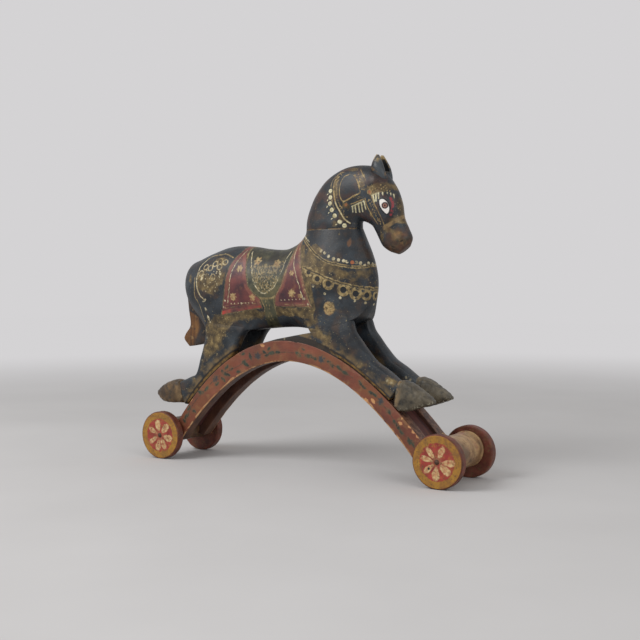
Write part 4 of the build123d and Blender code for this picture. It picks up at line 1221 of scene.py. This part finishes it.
def head_layers(grid):
    """Distances to the edges of the painted bridle, eye and garland, as on the torso."""
    space, plan = on_right(grid)
    not_side = 30 * (1 - np.clip((-space[:, 1] - 4) / 4, 0, 1))
    to_strap, to_oval = to_line(space, garland_strap), to_line(space, throat_oval)
    straps = [*poll_straps, *throat_straps, *cheek_straps, *browbands]
    strap_dots = np.concatenate([(cheek_straps[0] + cheek_straps[1])[3::3] / 2,
                                 (poll_straps[0] + poll_straps[1])[4::5] / 2])
    marks = np.concatenate([scattered(band, spacing, 5) for band, spacing in busy_bands])
    gold = least(
        to_strap - 1.5, to_oval - 0.95, *[to_line(space, line) - 1.0 for line in straps],
        to_spots(space, strap_dots) - 1.25, to_spots(plan, marks) - 1.05,
        to_line(space, bend([(88, -17, 528), (78, -14, 525), (72, -17, 516), (69, -20, 505)])) - 1.6,
        np.abs(to_spots(space, [(143, -26, 489.5)]) - 3.6) - 1.1,
        to_spots(space, brow_dots) - 1.9,
        np.maximum.reduce([np.abs(to_strap - 6.0) - 0.7, 6 - to_oval, 462 - plan[:, 1]]),
    )
    discs = to_spots(space, laid(space, garland_discs)) - 4.0
    sprig_places = np.array(garland_discs)[:, ::2] - (5.8, 5.0)
    sprigs = leaf(plan, sprig_places, 0.8 + 0.3 * np.sin(np.arange(7.0)), 5.0, 2.0)
    cream = least(
        discs, sprigs, to_line(space, garland_strap[14:]) - 0.7,
        *[to_line(space, tooth) - 1.4 for tooth in throat_teeth + brow_teeth],
        *[to_line(space, comb) - 1.0 for comb in (throat_comb, brow_comb)],
    )
    eye_edge = region(plan, eye) + not_side
    iris = to_spots(plan, [iris_middle]) - iris_radius
    warm = patches(plan, head_wear)
    warm -= np.clip(0.5 - region(plan, throat_oval[:, ::2]) / 4, 0, 1) * (1 - not_side / 30)
    mouth = to_line(space, bend([(212, 0, 392), (204, -9, 390), (193, -14, 391), (181, -15, 396)])) - 0.7
    nostril = np.hypot((plan[:, 0] - 199) / 1.5, plan[:, 1] - 405 - (plan[:, 0] - 199) * 0.4) - 1.7
    crescent = bend([(179.5, -18, 478), (183.5, -17.5, 469), (183.5, -19, 459), (181, -20, 450)])
    return {
        "gold": gold,
        "cream": cream,
        "eye": eye_edge,
        "iris": np.maximum(iris, eye_edge),
        "warm": warm,
        "crescent": to_line(space, crescent) - 2.3,
        "rosette": to_spots(space, [(143.2, -25.8, 489.2), (96, -25, 469.5)]) - 2.6,
        "dark": least(mouth, nostril + not_side, np.abs(to_strap - 2.9) - 0.6,
                      np.abs(discs - 0.5) - 0.6, discs + 3.1),
        "noseband": to_line(space, noseband) - 3.4,
        "muzzle": np.hypot((plan[:, 0] - 195) / 1.1, plan[:, 1] - 396) - 28,
        "seam": np.where(space[:, 0] < 125, space[:, 2] - 428.8, 30.0),
    }


head_grid = oval_grid(head_stations, 232, 1.15)
x, y, z = np.moveaxis(head_grid, -1, 0)
outward = np.sign(y) * np.clip(np.abs(y) / 10, 0, 1)
for at_x, at_z, wide, high, push in head_swellings:
    bell = np.exp(-(((x - at_x) / wide) ** 2) - ((z - at_z) / high) ** 2)
    head_grid[..., 1] += outward * push * bell
head_material, place = open_finish("painted_head")
colour, rubbed = blackened(place, layer(place, "warm"))
brown = grain(place, 60, 6.0, distortion=0.5).ramp(
    (0.3, (0.030, 0.016, 0.010)), (0.52, (0.105, 0.046, 0.022)), (0.75, (0.22, 0.105, 0.042)))
muzzle = 1 - (layer(place, "muzzle") + (grain(place, 50, 5.0) - 0.5) * 46).within(-9, 9)
colour = colour.mixed(brown, muzzle * 0.8 * (1 - rubbed * 0.6))
tan = muzzle * rubbed * grain(place, 90, 5.0).within(0.40, 0.62)
colour = colour.mixed((0.31, 0.165, 0.055), tan * 0.75)
blotches = grain(place, 64, 5.0, distortion=0.4).within(0.50, 0.62)
colour = colour.mixed((0.030, 0.030, 0.022), muzzle * blotches * 0.7)
mane = grain(place, 38, 4.0, distortion=0.6).within(0.52, 0.68)
colour = colour.mixed((0.075, 0.030, 0.020), mane * 0.55)
gold_tone = grain(place, 170).ramp(
    (0.32, (0.17, 0.115, 0.045)), (0.55, (0.38, 0.26, 0.10)), (0.75, (0.54, 0.42, 0.19)))
gold = painted(place, "gold", 0.45, 1.1) * grain(place, 230, 4.0).within(0.68, 0.54)
colour = colour.mixed(gold_tone, gold * 0.9)
strap = painted(place, "noseband", 1.0, 3.5, 120) * grain(place, 90, 4.0).within(0.70, 0.46)
colour = colour.mixed((0.27, 0.175, 0.075), strap * 0.85)
colour = colour.mixed((0.36, 0.13, 0.05), painted(place, "rosette", 0.9, 4.0, 160) * 0.85)
lines = painted(place, "dark", 0.45, 0.6)
colour = colour.mixed((0.010, 0.009, 0.009), lines * 0.85)
cream_tone = grain(place, 190, 2.0).ramp((0.3, (0.46, 0.40, 0.20)), (0.65, (0.78, 0.72, 0.48)))
cream = painted(place, "cream", 0.45, 0.9) * grain(place, 260, 4.0).within(0.70, 0.60)
colour = colour.mixed(cream_tone, cream * 0.95)
lid = 1 - (layer(place, "eye") + (grain(place, 260) - 0.5) * 0.8).within(1.8, 2.6)
colour = colour.mixed((0.010, 0.011, 0.013), lid)
crescent = painted(place, "crescent", 0.6, 1.8) * grain(place, 190).within(0.36, 0.5)
colour = colour.mixed((0.24, 0.024, 0.032), crescent)
wobble = (grain(place, 300) - 0.5) * 0.8
white = 1 - (layer(place, "eye") + wobble).within(-0.4, 0.4)
colour = colour.mixed((0.82, 0.79, 0.74), white)
iris = layer(place, "iris") + wobble
colour = colour.mixed((0.050, 0.030, 0.028), 1 - iris.within(-0.4, 0.4))
colour = colour.mixed((0.30, 0.140, 0.100), 1 - iris.within(-2.8, -1.8))
colour = colour.mixed((0.030, 0.018, 0.016), 1 - iris.within(-4.4, -3.6))
seam_edge = (1 - layer(place, "seam").within(0.2, 1.2)) * grain(place, 120).within(0.46, 0.56)
colour = colour.mixed((0.19, 0.12, 0.05), seam_edge * 0.75)
colour = coated(colour, place, ((0.014, 0.012, 0.011), 30, 5.0, 0.52, 0.75, 0.3))
height = gold * 0.5 + cream * 0.6 + white * 0.5 - lines * 1.1
height = height + grain(place, 420, 4.0) * 0.5 - rubbed * 0.25
close_finish(colour, gloss(place, 0.28), height, 0.35, 0.4)
head = skin("carved_head", head_grid, head_layers(head_grid))
finished(head, head_material, HORSE, "head_and_neck")


# ---- Ears ----
# Two short pricked ears carved from wood as leaves, hollow on the inner side and glued into
# the top of the head. They are blue-black with a painted blue-grey sheen behind, near black
# in the hollow as painted shade, and worn to cream at their tips.
brow = (154.0, 297.0)
ear_height = 36.0
ear_stations = [
    (-12, -0.5, 8, -0.6, 4.0, -1.6), (-16, 0.05, 14, -0.15, 7.0, -0.6), (-15, 0.45, 10, 0.38, 8.8, -0.3),
    (-12, 0.80, 4, 0.76, 6.4, -0.8), (-7, 1.07, -2, 1.05, 2.0, -1.2),
]


def ear_grid(side):
    """Slices of a leaf (two ends along and up the ear, half width, lean). Each one is an
    oval whose inner side is drawn back to hollow it, and the layers say how far up the ear
    and how deep in the hollow a point lies."""
    smooth = flow(np.multiply(ear_stations, (1, ear_height, 1, ear_height, 1, 1)), 0.45)
    turn = np.linspace(0, 2 * math.pi, 96, endpoint=False)
    base = np.array([brow[0], brow[1] + crest - 13])
    upper, lower = smooth[:, :2] + base, smooth[:, 2:4] + base
    up, half_width, lean = smooth[:, 3:4], smooth[:, 4:5], smooth[:, 5:6]
    mix = (1 + np.cos(turn))[None, :, None] / 2
    flat = lower[:, None] + mix * (upper - lower)[:, None]
    rise = np.clip((up - 1) / 9, 0, 1) * np.clip((ear_height - up) / 6, 0, 1)
    inward = -0.42 * np.cos(turn) - 0.91 * side * np.sin(turn)
    hollow = np.clip((inward - 0.45) / 0.55, 0, 1) * rise
    y = side * (13 + 4 * lean) + half_width * np.sin(turn) * (1 - 0.7 * hollow)
    grid = np.stack([flat[..., 0], y, flat[..., 1]], -1)
    return grid, {"share": up / ear_height + 0 * y, "hollow": inward - 0.84 + 1.2 * (rise - 1)}


ear_material, place = open_finish("painted_ear")
colour, brown = blackened(place)
# Painted sheen: blue-grey patches over the black paint.
sheen = grain(place, 60, 4.0, (1, 1, 0.4)).within(0.38, 0.60)
colour = colour.mixed((0.075, 0.088, 0.098), sheen * 0.75)
share = layer(place, "share") + (grain(place, 120, 4.0) - 0.5) * 0.5
tip = share.within(0.66, 0.88) * grain(place, 150).within(0.38, 0.52)
colour = colour.mixed((0.36, 0.26, 0.12), tip * 0.85)
colour = coated(colour, place, ((0.20, 0.12, 0.05), 100, 4.0, 0.56, 0.66, 0.6))
hollow = layer(place, "hollow")
ridge = hollow.within(-0.34, -0.20) * (1 - hollow.within(-0.06, 0.04))
colour = colour.mixed((0.26, 0.18, 0.085), ridge * grain(place, 120, 4.0).within(0.40, 0.56) * 0.75)
# Painted shade: the hollow is near black.
colour = colour.mixed((0.006, 0.006, 0.006), hollow.within(-0.05, 0.10) * 0.95)
close_finish(colour, brown * 0.1 + 0.4, grain(place, 380, 4.0), 0.25, 0.4)
for side_name, side in SIDES:
    ear = skin("carved_ear_" + side_name, *ear_grid(side))
    finished(ear, ear_material, HORSE, "ear_" + side_name)


# ---- Tail ----
# A bent slab of wood on a peg. Its front half is painted dark with the body, and its back
# half has worn to bare brown wood.
tail_stations = [
    (-264, 120, -228, 114, 23.4), (-271, 92, -226, 88, 26), (-268, 54, -220, 50, 26),
    (-264, 22, -215, 16, 26), (-276, 4, -213, 1, 26), (-279, -6, -215, -7, 26),
    (-268, -20, -232, -14, 23.4),
]
smooth = flow(tail_stations, 1.1)
upper, lower = smooth[:, :2] + (0, crest), smooth[:, 2:4] + (0, crest)
tail_grid = oblong(upper, lower, 0, smooth[:, 4], 9, 120)
front = (tail_grid[..., 0] - upper[:, :1]) / (lower[:, :1] - upper[:, :1])
high = np.clip((tail_grid[..., 2] - 268) / 24, 0, 1)
tail_material, place = open_finish("painted_tail")
fibre = grain(place, 190, 5.0, (1, 1, 0.12))
wood = fibre.ramp((0.3, (0.043, 0.018, 0.008)), (0.5, (0.140, 0.058, 0.016)), (0.75, (0.225, 0.108, 0.032)))
dark, _ = blackened(place)
front_share = layer(place, "front") + (grain(place, 50, 4.0, (1, 1, 0.5)) - 0.5) * 0.55
cover = (front_share + layer(place, "high") * 0.8).within(0.42, 0.58)
colour = wood.mixed(dark, cover * 0.95)
flakes, scuffs = (0.035, 0.022, 0.016), (0.30, 0.19, 0.08)
colour = coated(colour, place, (flakes, 130, 5.0, 0.56, 0.66, 0.6), (scuffs, 90, 4.0, 0.60, 0.70, 0.6))
close_finish(colour, cover * -0.1 + 0.55, fibre + grain(place, 350, 4.0), 0.3, 0.4)
tail = skin("carved_tail", tail_grid, {"front": front, "high": high})
finished(tail, tail_material, HORSE, "tail")


# ---- Pegs ----
# Round pegs of bare wood, driven in: dowels in legs, hooves and beams, and the neck's tenon
# with its locking peg. The finished pieces cover them all.
peg_material, place = open_finish("bare_peg")
fibre = grain(place, 260, 5.0, (1, 0.15, 1))
wood = fibre.ramp((0.3, (0.26, 0.13, 0.055)), (0.7, (0.58, 0.40, 0.22)))
close_finish(wood, fibre * 0.2 + 0.5, fibre, 0.2)
for node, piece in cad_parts.items():
    if any(word in node for word in ("dowels", "tenon", "peg")):
        piece.data.materials[0] = peg_material
